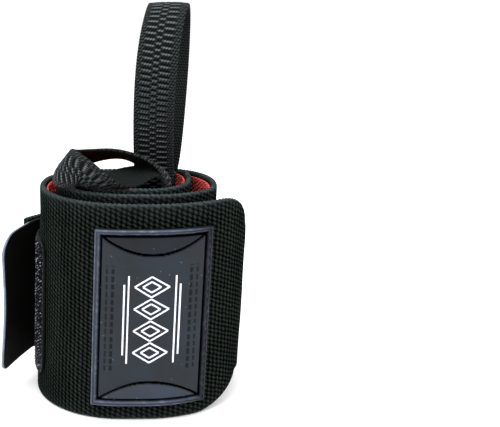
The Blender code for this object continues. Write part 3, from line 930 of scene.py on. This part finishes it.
def make_stitches(sizes, colours):
    """Thread that holds the badge, the hook patch and the tab."""
    inset = BADGE_SEAM_INSET
    start = badge_start()
    left, right = start + inset, start + BADGE_WIDTH - inset
    low, high = BADGE_FOOT + inset, BADGE_FOOT + BADGE_HEIGHT - inset
    corners = [(left, low), (right, low), (right, high), (left, high), (left, low)]
    shells = []
    for first, second in zip(corners, corners[1:]):
        track = roll_track([first, second], FIT_GAP + BADGE_WALL + sizes.lip_rise - 0.02 * MM)
        shells += stitch_track(track, (0.0, 0.25, 0.0), **BADGE_STITCH)
    inset = PAD_SEAM_INSET
    x0, x1 = pad_start() + inset, pad_start() + PAD_LENGTH - inset
    z0, z1 = PAD_FOOT + inset, PAD_FOOT + PAD_HEIGHT - inset
    turn = 0.35 * PAD_CORNER
    corners = [(x1 - turn, z0), (x1, z0 + turn), (x1, z1 - turn), (x1 - turn, z1), (x0 + turn, z1),
               (x0, z1 - turn), (x0, z0 + turn), (x0 + turn, z0), (x1 - turn, z0)]
    track = roll_track(corners, FIT_GAP + 0.6 * MM)
    shells += stitch_track(track, (0.2, 0.0, 0.0), **SEAM_STITCH)
    tab_foot = tab_frame()[2]
    seam = TAIL_END - TAB_SEAM_INSET
    track = roll_track([(seam, tab_foot + 4 * MM), (seam, tab_foot + TAB_HEIGHT - 4 * MM)],
                       -STACK - FIT_GAP - TAB_WALL - 0.02 * MM)
    shells += stitch_track(track, (-0.2, 0.0, 0.0), **SEAM_STITCH)
    for inset in TAIL_SEAM_INSETS:
        seam = TAIL_END - inset
        foot, top = edge_heights(seam)
        track = roll_track([(seam, foot + 3 * MM), (seam, top - 3 * MM)], 0.08 * MM)
        shells += stitch_track(track, (0.2, 0.0, 0.0), **SEAM_STITCH)
    return join_shells("seam_stitches", shells, sewing_thread(), 80)


def smooth_route(points, count):
    """Smooth curve through rows of numbers, cut into even stations by its first three."""
    rows = np.array(points)
    padded = np.vstack([2 * rows[0] - rows[1], rows, 2 * rows[-1] - rows[-2]])
    dense = []
    for index in range(1, len(padded) - 2):
        p0, p1, p2, p3 = padded[index - 1:index + 3]
        for t in np.linspace(0.0, 1.0, 12, endpoint=False):
            dense.append(0.5 * (2 * p1 + (p2 - p0) * t + (2 * p0 - 5 * p1 + 4 * p2 - p3) * t ** 2
                                + (3 * p1 - p0 - 3 * p2 + p3) * t ** 3))
    dense.append(padded[-2])
    dense = np.array(dense)
    hops = np.linalg.norm(np.diff(dense[:, :3], axis=0), axis=1)
    lengths = np.concatenate([[0.0], np.cumsum(hops)])
    wanted = np.linspace(0.0, lengths[-1], count + 1)
    return np.stack([np.interp(wanted, lengths, column) for column in dense.T], axis=1)


def web_relief(across, along, sizes):
    """Ribs of the webbing: three columns of bars between twilled borders."""
    bars = np.zeros(along.shape)
    covered = np.zeros(along.shape)
    for column in RIB_COLUMNS:
        share = np.exp(-((across - column["middle"]) / column["half"]) ** 6)
        bars += share * np.cos(math.tau * (along / sizes.rib_pitch + column["shift"]))
        covered += share
    border = 1.0 - np.clip(covered, 0.0, 1.0)
    twill = np.cos(math.tau * (along / TWILL_PITCH + np.abs(across) / TWILL_SLOPE))
    return sizes.rib_rise * (0.9 * bars + 0.4 * border * twill)


def soften(rows, times):
    """Rows of numbers, each drawn several times towards its two neighbours."""
    rows = rows.copy()
    for _ in range(times):
        rows[1:-1] = 0.25 * rows[:-2] + 0.5 * rows[1:-1] + 0.25 * rows[2:]
    return rows


def webbing_object(name, stations, ribbed_side, sizes, colours, node):
    """Ribbed elastic webbing along stations of place and edge direction.

    A seventh number in each station is the height of its arch.
    """
    rough = smooth_route(stations, 400)
    total = float(np.linalg.norm(np.diff(rough[:, :3], axis=0), axis=1).sum())
    route = soften(smooth_route(stations, int(total / WEB_STEP)), 3)
    places = route[:, :3] + np.array(ORIGIN)
    run = np.gradient(places, axis=0)
    run /= np.linalg.norm(run, axis=1, keepdims=True)
    edge = route[:, 3:6]
    edge = edge - run * np.sum(edge * run, axis=1, keepdims=True)
    edge /= np.linalg.norm(edge, axis=1, keepdims=True)
    normal = np.cross(run, edge)
    rows = rim_rows(WEB_WIDTH, WEB_ROW, WEB_WALL) - 0.5 * WEB_WIDTH
    lengths = np.linspace(0.0, total, len(places))
    along, across = np.meshgrid(lengths, rows, indexing="ij")
    from_edge = 0.5 * WEB_WIDTH - np.abs(across)
    draw = edge_round(from_edge, WEB_WALL)
    fade = np.clip(from_edge / (0.6 * MM), 0.0, 1.0)
    relief = web_relief(across * ribbed_side, along, sizes) * fade
    yarn = np.cos(math.tau * along / YARN_PITCH)
    fine = 0.05 * MM * yarn * np.cos(math.tau * across / YARN_ROW) * fade
    cup = 0.35 * MM * (2.0 * np.abs(across) / WEB_WIDTH) ** 2
    ribbed = 0.5 * WEB_WALL - draw + relief - 0.05 * MM
    smooth = 0.5 * WEB_WALL - draw + fine - 0.05 * MM
    front, back = (ribbed, smooth) if ribbed_side > 0 else (smooth, ribbed)
    tooth = 0.07 * MM * yarn * np.exp(-from_edge / (0.5 * MM))
    wide = across + np.sign(across) * tooth
    base = places[:, None, :] + edge[:, None, :] * wide[..., None]
    if route.shape[1] > 6:
        arch = route[:, 6:] * (1.0 - (2.0 * rows / WEB_WIDTH) ** 2) * ribbed_side
        base = base + normal[:, None, :] * arch[..., None]
        share = (2.0 * rows / WEB_WIDTH)[None, :, None] ** 2
        base = base + (soften(base, EDGE_SOFTENING) - base) * share
    cup = -ribbed_side * cup
    face = base + normal[:, None, :] * (front + cup)[..., None]
    rear = base + normal[:, None, :] * (cup - back)[..., None]
    uv = np.stack([along, across], axis=-1)
    obj = shell_object(name, face, rear, uv, ribbed_webbing(colours), 70)
    # Painted shading for the colour: dark in the hollows of the ribbed side, light on its crowns; the
    # smooth side gets one middling tone
    smooth_tone = 0.42 + 0.0 * relief
    ribbed_tone = 0.5 + 0.5 * relief / sizes.rib_rise
    tones = (ribbed_tone, smooth_tone) if ribbed_side > 0 else (smooth_tone, ribbed_tone)
    add_tone(obj, "painted_rib_shading", tones)
    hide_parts(node)
    return obj


def rim_height():
    """Height of the band's top at its inner end."""
    return edge_heights(0.0)[1]


def seam_place():
    """Middle of the band's inner end, in plan, where the tall loop is sewn."""
    back = side_reaches()[0]
    return TALL_FROM_MIDDLE, back - 0.5 * STACK


def tall_stations():
    """Upright teardrop whose two ends hold the band's inner end between them."""
    x_seam, y_seam = seam_place()
    apart = 0.5 * STACK + FIT_GAP + 0.5 * WEB_WALL
    rim = rim_height()
    stations = []
    for up in (-SEAM_DEPTH, -0.5 * SEAM_DEPTH):
        stations.append((x_seam, y_seam - apart, rim + up, -1.0, 0.0, 0.0))
    steps = 28
    for step in range(steps + 1):
        angle = 2.0 * math.pi * step / steps
        share = 0.5 * (1.0 - math.cos(angle))
        depth = -apart * math.cos(0.5 * angle)
        depth -= 0.5 * TALL_DEPTH * math.sin(angle) * share / TEARDROP_PEAK
        side = TALL_LEAN * share ** (TALL_FRONT_SWEEP if step <= steps // 2 else TALL_BACK_SWEEP)
        turn = TALL_TURN * math.sin(math.pi * min(share, 0.5))
        edge = (-math.cos(turn), math.sin(turn), 0.0)
        x = x_seam + side
        stations.append((x, y_seam + depth, rim + TALL_HEIGHT * share, *edge))
    for up in (-0.5 * SEAM_DEPTH, -SEAM_DEPTH):
        stations.append((x_seam, y_seam + apart, rim + up, -1.0, 0.0, 0.0))
    return stations


def small_stations():
    """Loop that leaves the seam upright and lies down over the left rim."""
    x_seam, y_seam = seam_place()
    tall_face = y_seam - 0.5 * STACK - FIT_GAP - WEB_WALL
    y_root = tall_face - FIT_GAP - 0.5 * WEB_WIDTH
    x_root = x_seam + 0.5 * WEB_WIDTH - 2.7 * MM
    rim = rim_height()
    stations = []
    for row in SMALL_STATIONS:
        heading = math.radians(row["heading"])
        pitch = math.radians(row["pitch"])
        stations.append((
            x_root - row["along"] * SMALL_REACH,
            y_root + row["across"] * SMALL_SPREAD,
            rim + row["up"] * SMALL_CREST,
            math.cos(heading) * math.cos(pitch),
            math.sin(heading) * math.cos(pitch),
            math.sin(pitch),
            row["bulge"] * SMALL_BULGE,
        ))
    return stations


def make_webbing_loops(sizes, colours):
    """Tall upright loop and small loop lying over the rim."""
    webbing_object("tall_webbing_loop", tall_stations(), 1.0, sizes, colours, "tall_loop")
    webbing_object("small_webbing_loop", small_stations(), -1.0, sizes, colours, "small_loop")


# Materials

def linear(colour):
    """sRGB hex to linear colour with alpha."""
    parts = [int(colour[index:index + 2], 16) / 255.0 for index in (0, 2, 4)]
    return tuple(p / 12.92 if p <= 0.04045 else ((p + 0.055) / 1.055) ** 2.4 for p in parts) + (1.0,)


def add_node(tree, kind, inputs=None, output=0, stops=(), **settings):
    """Output of a new node, whose inputs are set or linked by name or index.

    stops are the places and sRGB hex colours of a colour ramp.
    """
    node = tree.nodes.new(kind)
    for name, value in settings.items():
        setattr(node, name, value)
    for name, value in (inputs or {}).items():
        if isinstance(value, bpy.types.NodeSocket):
            tree.links.new(value, node.inputs[name])
        else:
            node.inputs[name].default_value = value
    elements = node.color_ramp.elements if stops else []
    while len(elements) < len(stops):
        elements.new(0.5)
    for element, (place, colour) in zip(elements, stops):
        element.position = place
        element.color = linear(colour)
    return node.outputs[output]


def new_material(name, **sockets):
    """Material with a Principled shader, its constants set on the shader."""
    material = bpy.data.materials.new(name)
    material.use_nodes = True
    tree = material.node_tree
    shader = tree.nodes["Principled BSDF"]
    for socket, value in sockets.items():
        shader.inputs[socket.replace("_", " ")].default_value = value
    return material, tree, shader


def link_surface(tree, shader, colour, height, depth, strength):
    """Link a colour and a relief of a depth to the shader."""
    normal = add_node(tree, "ShaderNodeBump", {
        "Height": height, "Distance": depth, "Strength": strength})
    tree.links.new(colour, shader.inputs["Base Color"])
    tree.links.new(normal, shader.inputs["Normal"])


def cells(tree, x_mm, y_mm):
    """The cloth's coordinates, counted in cells of a size in millimetres."""
    uv = add_node(tree, "ShaderNodeUVMap", uv_map="cloth")
    return add_node(tree, "ShaderNodeMapping", {
        "Vector": uv, "Scale": (1000.0 / x_mm, 1000.0 / y_mm, 1.0)})


def stitches_height(tree, x_mm, y_mm, jitter):
    """Height of knit stitches: slanted ovals in staggered columns, a little out of place."""
    noise = add_node(tree, "ShaderNodeTexNoise", {
        "Vector": cells(tree, 2.3, 2.3), "Scale": 1.0, "Detail": 2.0}, "Color")
    shift = add_node(tree, "ShaderNodeVectorMath", {0: noise, 1: (jitter, jitter, 0.0)},
                     operation="MULTIPLY")
    moved = add_node(tree, "ShaderNodeVectorMath", {0: cells(tree, x_mm, y_mm), 1: shift},
                     operation="ADD")
    x, y = [add_node(tree, "ShaderNodeSeparateXYZ", {0: moved}, axis) for axis in ("X", "Y")]
    column = add_node(tree, "ShaderNodeMath", {0: x}, operation="FLOOR")
    y = add_node(tree, "ShaderNodeMath", {0: column, 1: 0.5, 2: y}, operation="MULTIPLY_ADD")
    across, up = [add_node(tree, "ShaderNodeMath", {0: place}, operation="FRACT") for place in (x, y)]
    across, up = [add_node(tree, "ShaderNodeMath", {0: part, 1: 0.5}, operation="SUBTRACT")
                  for part in (across, up)]
    slanted = add_node(tree, "ShaderNodeMath", {0: across, 1: 0.7, 2: up}, operation="MULTIPLY_ADD")
    square = add_node(tree, "ShaderNodeMath", {0: across, 1: across}, operation="MULTIPLY")
    far = add_node(tree, "ShaderNodeMath", {0: slanted, 1: slanted, 2: square},
                   operation="MULTIPLY_ADD")
    return add_node(tree, "ShaderNodeMath", {0: far, 1: -3.6, 2: 1.0}, operation="MULTIPLY_ADD")


def black_knit(colours):
    """Polyester and rubber elastic, warp knitted in coarse black yarn.

    Each stitch is a fuzzy matte oval with a dark gap round it, painted as shade,
    and a slightly lighter crown, painted as highlight; noise adds random tone. The
    selvages are paler with a painted highlight, and the stretch under the outer
    turn is darkened with a painted shadow.
    """
    material, tree, shader = new_material(
        "black_knitted_elastic", Roughness=0.8, Specular_IOR_Level=0.0)
    height = stitches_height(tree, 1.8, 1.55, 0.6)
    patches, hair = [
        add_node(tree, "ShaderNodeTexNoise", {"Vector": cells(tree, *size), "Scale": 1.0, "Detail": 3.0})
        for size in ((9.0, 14.0), (0.5, 0.35))]
    tone = height
    for noise, amount in ((patches, 0.5), (hair, 1.2)):
        level = add_node(tree, "ShaderNodeMath", {0: noise, 1: 0.5}, operation="SUBTRACT")
        tone = add_node(tree, "ShaderNodeMath", {0: level, 1: amount, 2: tone},
                        operation="MULTIPLY_ADD")
    # Colour from the stitches' height: painted shade in the gaps, painted highlight on the crowns; the
    # noise adds random tone
    colour = add_node(tree, "ShaderNodeValToRGB", {"Fac": tone}, stops=(
        (0.05, "040505"), (0.38, "0e110f"), (0.70, colours.knit_yarn), (1.0, "232a26")))
    # Painted highlight in 3c4446 along the selvages, and painted shadow in 020202 on the stretch under
    # the outer turn
    for attribute, amount, shade in (("selvage", 0.8, "3c4446"), ("covered", 0.7, "020202")):
        mask = add_node(tree, "ShaderNodeAttribute", output="Fac", attribute_name=attribute)
        mask = add_node(tree, "ShaderNodeMath", {0: mask, 1: amount}, operation="MULTIPLY")
        colour = add_node(tree, "ShaderNodeMix", {0: mask, 6: colour, 7: linear(shade)}, 2,
                          data_type="RGBA")
    relief = add_node(tree, "ShaderNodeMath", {0: hair, 1: 0.5, 2: height}, operation="MULTIPLY_ADD")
    link_surface(tree, shader, colour, relief, 0.45 * MM, 0.9)
    return material


def red_knit(colours):
    """Red brushed knit: short soft loops of yarn, with painted shade between them and painted highlights
    on their crowns.
    """
    material, tree, shader = new_material(
        "red_looped_knit", Roughness=0.88, Sheen_Weight=0.05, Specular_IOR_Level=0.15)
    height = stitches_height(tree, 1.5, 1.5, 0.5)
    # Colour from the loops' height: painted shade low between them, painted highlight on their crowns
    colour = add_node(tree, "ShaderNodeValToRGB", {"Fac": height}, stops=(
        (0.15, "a51e14"), (0.5, "dc3424"), (0.85, colours.red_yarn), (1.0, "ff9a88")))
    link_surface(tree, shader, colour, height, 0.4 * MM, 0.8)
    return material


def moulded_rubber(colours):
    """Soft PVC rubber, moulded against a blasted steel tool.

    Satin with a fine grain and pale specks. Its grooves are painted dark as shade
    and kept dull, the top arc and the lip's far side carry painted shade, the foot
    arc a painted reflection, and the lip's crests painted highlights.
    """
    material, tree, shader = new_material("moulded_soft_rubber", Roughness=0.42)
    cloud = add_node(tree, "ShaderNodeTexNoise", {
        "Vector": cells(tree, 16.0, 16.0), "Scale": 1.0, "Detail": 4.0})
    base = add_node(tree, "ShaderNodeValToRGB", {"Fac": cloud}, stops=(
        (0.3, "1b2129"), (0.7, colours.badge)))
    shade, crests = [add_node(tree, "ShaderNodeAttribute", output="Fac", attribute_name=name)
                     for name in ("shade", "painted_crest_highlight")]
    # Painted tones: white for the foot arc's painted reflection, c6c5bc for the field, c0b2a2 for the
    # top arc's painted shade, black for the grooves' painted shade
    tone = add_node(tree, "ShaderNodeValToRGB", {"Fac": shade}, stops=(
        (0.0, "ffffff"), (0.25, "c6c5bc"), (0.5, "c0b2a2"), (1.0, "030303")))
    colour = add_node(tree, "ShaderNodeMix", {0: 1.0, 6: base, 7: tone}, 2,
                      data_type="RGBA", blend_type="MULTIPLY")
    spots = add_node(tree, "ShaderNodeTexVoronoi", {"Vector": cells(tree, 2.7, 2.7), "Scale": 1.0},
                     "Distance")
    specks = add_node(tree, "ShaderNodeValToRGB", {"Fac": spots}, stops=(
        (0.04, "c0c0c0"), (0.08, "000000")))
    # Pale specks of the rubber, and the painted crest highlights, mixed towards 77819a
    pale = add_node(tree, "ShaderNodeMath", {0: specks, 1: crests}, operation="MAXIMUM")
    colour = add_node(tree, "ShaderNodeMix", {0: pale, 6: colour, 7: linear("77819a")}, 2,
                      data_type="RGBA")
    # Less specular where the painted shade is darker, none in the black grooves
    shine = add_node(tree, "ShaderNodeMath", {0: shade, 1: -0.28, 2: 0.28}, operation="MULTIPLY_ADD")
    tree.links.new(shine, shader.inputs["Specular IOR Level"])
    grain = add_node(tree, "ShaderNodeTexNoise", {
        "Vector": cells(tree, 0.25, 0.25), "Scale": 1.0, "Detail": 2.0})
    link_surface(tree, shader, colour, grain, 0.04 * MM, 0.5)
    return material


def grained(name, base, light, size_mm, depth_mm, **sockets):
    """Plain material with a fine uneven grain of a size and depth."""
    material, tree, shader = new_material(name, **sockets)
    noise = add_node(tree, "ShaderNodeTexNoise", {
        "Vector": cells(tree, size_mm, size_mm), "Scale": 1.0, "Detail": 3.0})
    colour = add_node(tree, "ShaderNodeValToRGB", {"Fac": noise}, stops=((0.35, base), (0.7, light)))
    link_surface(tree, shader, colour, noise, depth_mm * MM, 0.6)
    return material


def pale_paint(colours):
    """Screen-printed PVC ink on the moulding: chalky white, slightly uneven."""
    return grained("printed_pale_ink", "c9ccd6", colours.inlay, 1.2, 0.02, Roughness=0.5)


def tab_strip(colours):
    """Nylon tape with a calendered back: smooth, near black, faintly uneven."""
    return grained("calendered_nylon_tape", "060605", colours.tab, 2.6, 0.05, Roughness=0.6,
                   Specular_IOR_Level=0.15)


def pale_rim(colours):
    """Welded polyurethane edge of the tab: pale blue grey, semi-gloss."""
    return grained("welded_urethane_edge", "5a6272", colours.rim, 3.0, 0.02, Roughness=0.35)


def hook_base():
    """Woven nylon ground of the hook tape: dark, between the hooks."""
    return grained("woven_nylon_ground", "010101", "0a0b0c", 0.7, 0.12, Roughness=0.6,
                   Specular_IOR_Level=0.06)


def hook_plastic(colours):
    """Drawn nylon monofilament hooks: glossy and dark, with a painted glint on a few of them.

    The pattern has 1.1 blobs a millimetre, about one to each hook.
    """
    material, tree, shader = new_material(
        "nylon_hook_filament", Roughness=0.3, Specular_IOR_Level=0.03)
    place = add_node(tree, "ShaderNodeTexCoord", output="Object")
    noise = add_node(tree, "ShaderNodeTexNoise", {
        "Vector": place, "Scale": 1.1 / MM, "Detail": 1.0})
    # Painted glints: where the noise is high a hook takes the pale glint colour, elsewhere it stays near
    # black
    colour = add_node(tree, "ShaderNodeValToRGB", {"Fac": noise}, stops=(
        (0.46, "040405"), (0.55, "262530"), (0.63, colours.hooks)))
    tree.links.new(colour, shader.inputs["Base Color"])
    return material


def sewing_thread():
    """Bonded polyester thread: black with a slight shine."""
    return grained("bonded_polyester_thread", "060707", "16191b", 0.5, 0.03, Roughness=0.5)


def ribbed_webbing(colours):
    """Woven elastic webbing: weft bars over rubber cores, twilled borders.

    The bars and borders are in the mesh, and the yarn is in the bump. The colour
    carries painted shade in the hollows between the bars and painted highlights on
    their crowns.
    """
    material, tree, shader = new_material(
        "ribbed_elastic_webbing", Roughness=0.65, Specular_IOR_Level=0.06)
    height = stitches_height(tree, YARN_PITCH / MM, YARN_ROW / MM, 0.1)
    # Painted shading from the mesh: near black in the hollows between the bars, up to 60686a on their
    # crowns
    bars = add_node(tree, "ShaderNodeAttribute", output="Fac", attribute_name="painted_rib_shading")
    bars = add_node(tree, "ShaderNodeMath", {0: bars, 1: 0.75}, operation="MULTIPLY")
    tone = add_node(tree, "ShaderNodeMath", {0: height, 1: 0.25, 2: bars}, operation="MULTIPLY_ADD")
    colour = add_node(tree, "ShaderNodeValToRGB", {"Fac": tone}, stops=(
        (0.22, "010101"), (0.46, "121514"), (0.70, colours.webbing), (0.95, "60686a")))
    link_surface(tree, shader, colour, height, 0.16 * MM, 0.7)
    return material


# Stage

def make_stage(sizes, colours):
    """Pale seamless floor, soft lights and the camera."""
    bpy.ops.mesh.primitive_plane_add(size=6.0, location=(0.0, 1.0, CAD_BOX[0][2] - 0.05 * MM))
    floor = bpy.context.object
    floor.name = "stage_floor"
    material, _, shader = new_material("pale_paper_floor", Roughness=0.9, Specular_IOR_Level=0.1)
    shader.inputs["Base Color"].default_value = linear("fbfbfb")
    floor.data.materials.append(material)
    world = bpy.data.worlds.new("studio_air")
    world.use_nodes = True
    background = world.node_tree.nodes["Background"]
    background.inputs["Color"].default_value = (1.0, 1.0, 1.0, 1.0)
    background.inputs["Strength"].default_value = 1.08
    bpy.context.scene.world = world
    lights = [
        {"name": "soft_top", "place": (-0.1, -0.1, 0.9), "size": 0.9, "power": 7.0},
        {"name": "soft_left", "place": (-0.7, -0.5, 0.45), "size": 0.6, "power": 5.0},
        {"name": "soft_right", "place": (0.8, -0.35, 0.5), "size": 0.5, "power": 5.0},
    ]
    for row in lights:
        lamp = bpy.data.lights.new(row["name"], "AREA")
        lamp.size = row["size"]
        lamp.energy = row["power"]
        obj = bpy.data.objects.new(row["name"], lamp)
        obj.location = row["place"]
        aim = Vector((0.0, 0.0, 0.06)) - Vector(row["place"])
        obj.rotation_euler = aim.to_track_quat("-Z", "Y").to_euler()
        bpy.context.collection.objects.link(obj)
    view = bpy.data.cameras.new("view")
    view.lens = CAMERA_LENS
    view.sensor_width = 36.0
    view.clip_start = 0.01
    camera = bpy.data.objects.new("view", view)
    camera.location = ORIGIN + CAMERA_OFFSET
    camera.rotation_euler = (0.5 * math.pi - CAMERA_PITCH, 0.0, 0.0)
    bpy.context.collection.objects.link(camera)
    bpy.context.scene.camera = camera
    bpy.context.scene.view_settings.view_transform = "Standard"
    return floor


# Settings, operators and panel

class WrapSizes(bpy.types.PropertyGroup):
    """Sizes of the fine detail."""
    serration: FloatProperty(
        name="Serration", description="Height of the selvage's teeth", default=0.16 * MM,
        unit="LENGTH")
    waviness: FloatProperty(
        name="Waviness", description="Unevenness of the band's face", default=0.25 * MM,
        unit="LENGTH")
    terry: FloatProperty(
        name="Terry", description="Height of the red face's loops", default=0.13 * MM,
        unit="LENGTH")
    lip_rise: FloatProperty(
        name="Lip rise", description="Height of the badge's lip", default=0.6 * MM, unit="LENGTH")
    rim_radius: FloatProperty(
        name="Rim radius", description="Radius of the tab's pale edge", default=0.42 * MM,
        unit="LENGTH")
    hook_pitch: FloatProperty(
        name="Hook pitch", description="Spacing of the hooks", default=1.2 * MM, unit="LENGTH")
    rib_pitch: FloatProperty(
        name="Rib pitch", description="Spacing of the webbing's bars", default=2.15 * MM,
        unit="LENGTH")
    rib_rise: FloatProperty(
        name="Rib rise", description="Height of the webbing's bars", default=0.2 * MM,
        unit="LENGTH")


class WrapColours(bpy.types.PropertyGroup):
    """sRGB hex colours."""
    knit_yarn: StringProperty(name="Knit", description="Black yarn's lit colour", default="191e1b")
    red_yarn: StringProperty(name="Red", description="Red yarn's colour", default="ff5643")
    badge: StringProperty(name="Badge", description="Moulded rubber's colour", default="1f2c3b")
    inlay: StringProperty(name="Inlay", description="Printed ink's colour", default="e6e8f2")
    tab: StringProperty(name="Tab", description="Tab's colour", default="0c0b0a")
    rim: StringProperty(name="Rim", description="Tab edge's colour", default="7b8498")
    # Pale colour of the painted glints on some hooks
    hooks: StringProperty(name="Hooks", description="Hook filament's colour", default="9a9cad")
    webbing: StringProperty(name="Webbing", description="Webbing's lit colour", default="363c3d")


def settings(context):
    """Sizes and colours that the panel shows."""
    return context.scene.wrap_sizes, context.scene.wrap_colours


class WRAP_OT_band(bpy.types.Operator):
    """Make the knit band with its seams"""
    bl_idname = "wrap.band"
    bl_label = "Knit Band"

    def execute(self, context):
        make_band(*settings(context))
        make_stitches(*settings(context))
        return {"FINISHED"}


class WRAP_OT_lining(bpy.types.Operator):
    """Make the red knit face inside the roll"""
    bl_idname = "wrap.lining"
    bl_label = "Red Face"

    def execute(self, context):
        make_lining(*settings(context))
        return {"FINISHED"}


class WRAP_OT_badge(bpy.types.Operator):
    """Make the rubber badge and its printed inlay"""
    bl_idname = "wrap.badge"
    bl_label = "Rubber Badge"

    def execute(self, context):
        make_badge(*settings(context))
        make_inlay(*settings(context))
        return {"FINISHED"}


class WRAP_OT_closure(bpy.types.Operator):
    """Make the closing tab with its pale rim, and the hook patch"""
    bl_idname = "wrap.closure"
    bl_label = "Tab and Hooks"

    def execute(self, context):
        make_tab(*settings(context))
        make_tab_rim(*settings(context))
        make_pad(*settings(context))
        return {"FINISHED"}


class WRAP_OT_loops(bpy.types.Operator):
    """Make the tall and the small webbing loop"""
    bl_idname = "wrap.loops"
    bl_label = "Webbing Loops"

    def execute(self, context):
        make_webbing_loops(*settings(context))
        return {"FINISHED"}


class WRAP_OT_stage(bpy.types.Operator):
    """Make the pale floor, the lights and the camera"""
    bl_idname = "wrap.stage"
    bl_label = "Stage"

    def execute(self, context):
        make_stage(*settings(context))
        return {"FINISHED"}


class WRAP_PT_panel(bpy.types.Panel):
    """Sidebar panel of the rolled wrist wrap"""
    bl_idname = "WRAP_PT_panel"
    bl_label = "Rolled Wrist Wrap"
    bl_space_type = "VIEW_3D"
    bl_region_type = "UI"
    bl_category = "Wrist Wrap"

    def draw(self, context):
        sizes, colours = settings(context)
        for group in (sizes, colours):
            box = self.layout.box()
            for name in group.__annotations__:
                box.prop(group, name)
        for operator in OPERATORS:
            self.layout.operator(operator.bl_idname)


OPERATORS = (WRAP_OT_band, WRAP_OT_lining, WRAP_OT_badge, WRAP_OT_closure, WRAP_OT_loops,
             WRAP_OT_stage)
CLASSES = (WrapSizes, WrapColours, *OPERATORS, WRAP_PT_panel)


def register():
    for cls in CLASSES:
        bpy.utils.register_class(cls)
    bpy.types.Scene.wrap_sizes = PointerProperty(type=WrapSizes)
    bpy.types.Scene.wrap_colours = PointerProperty(type=WrapColours)


def unregister():
    del bpy.types.Scene.wrap_colours
    del bpy.types.Scene.wrap_sizes
    for cls in reversed(CLASSES):
        bpy.utils.unregister_class(cls)


def main():
    """Dress the frame in the scene."""
    register()
    bpy.ops.wrap.band()
    bpy.ops.wrap.lining()
    bpy.ops.wrap.badge()
    bpy.ops.wrap.closure()
    bpy.ops.wrap.loops()
    bpy.ops.wrap.stage()


if __name__ == "__main__":
    main()
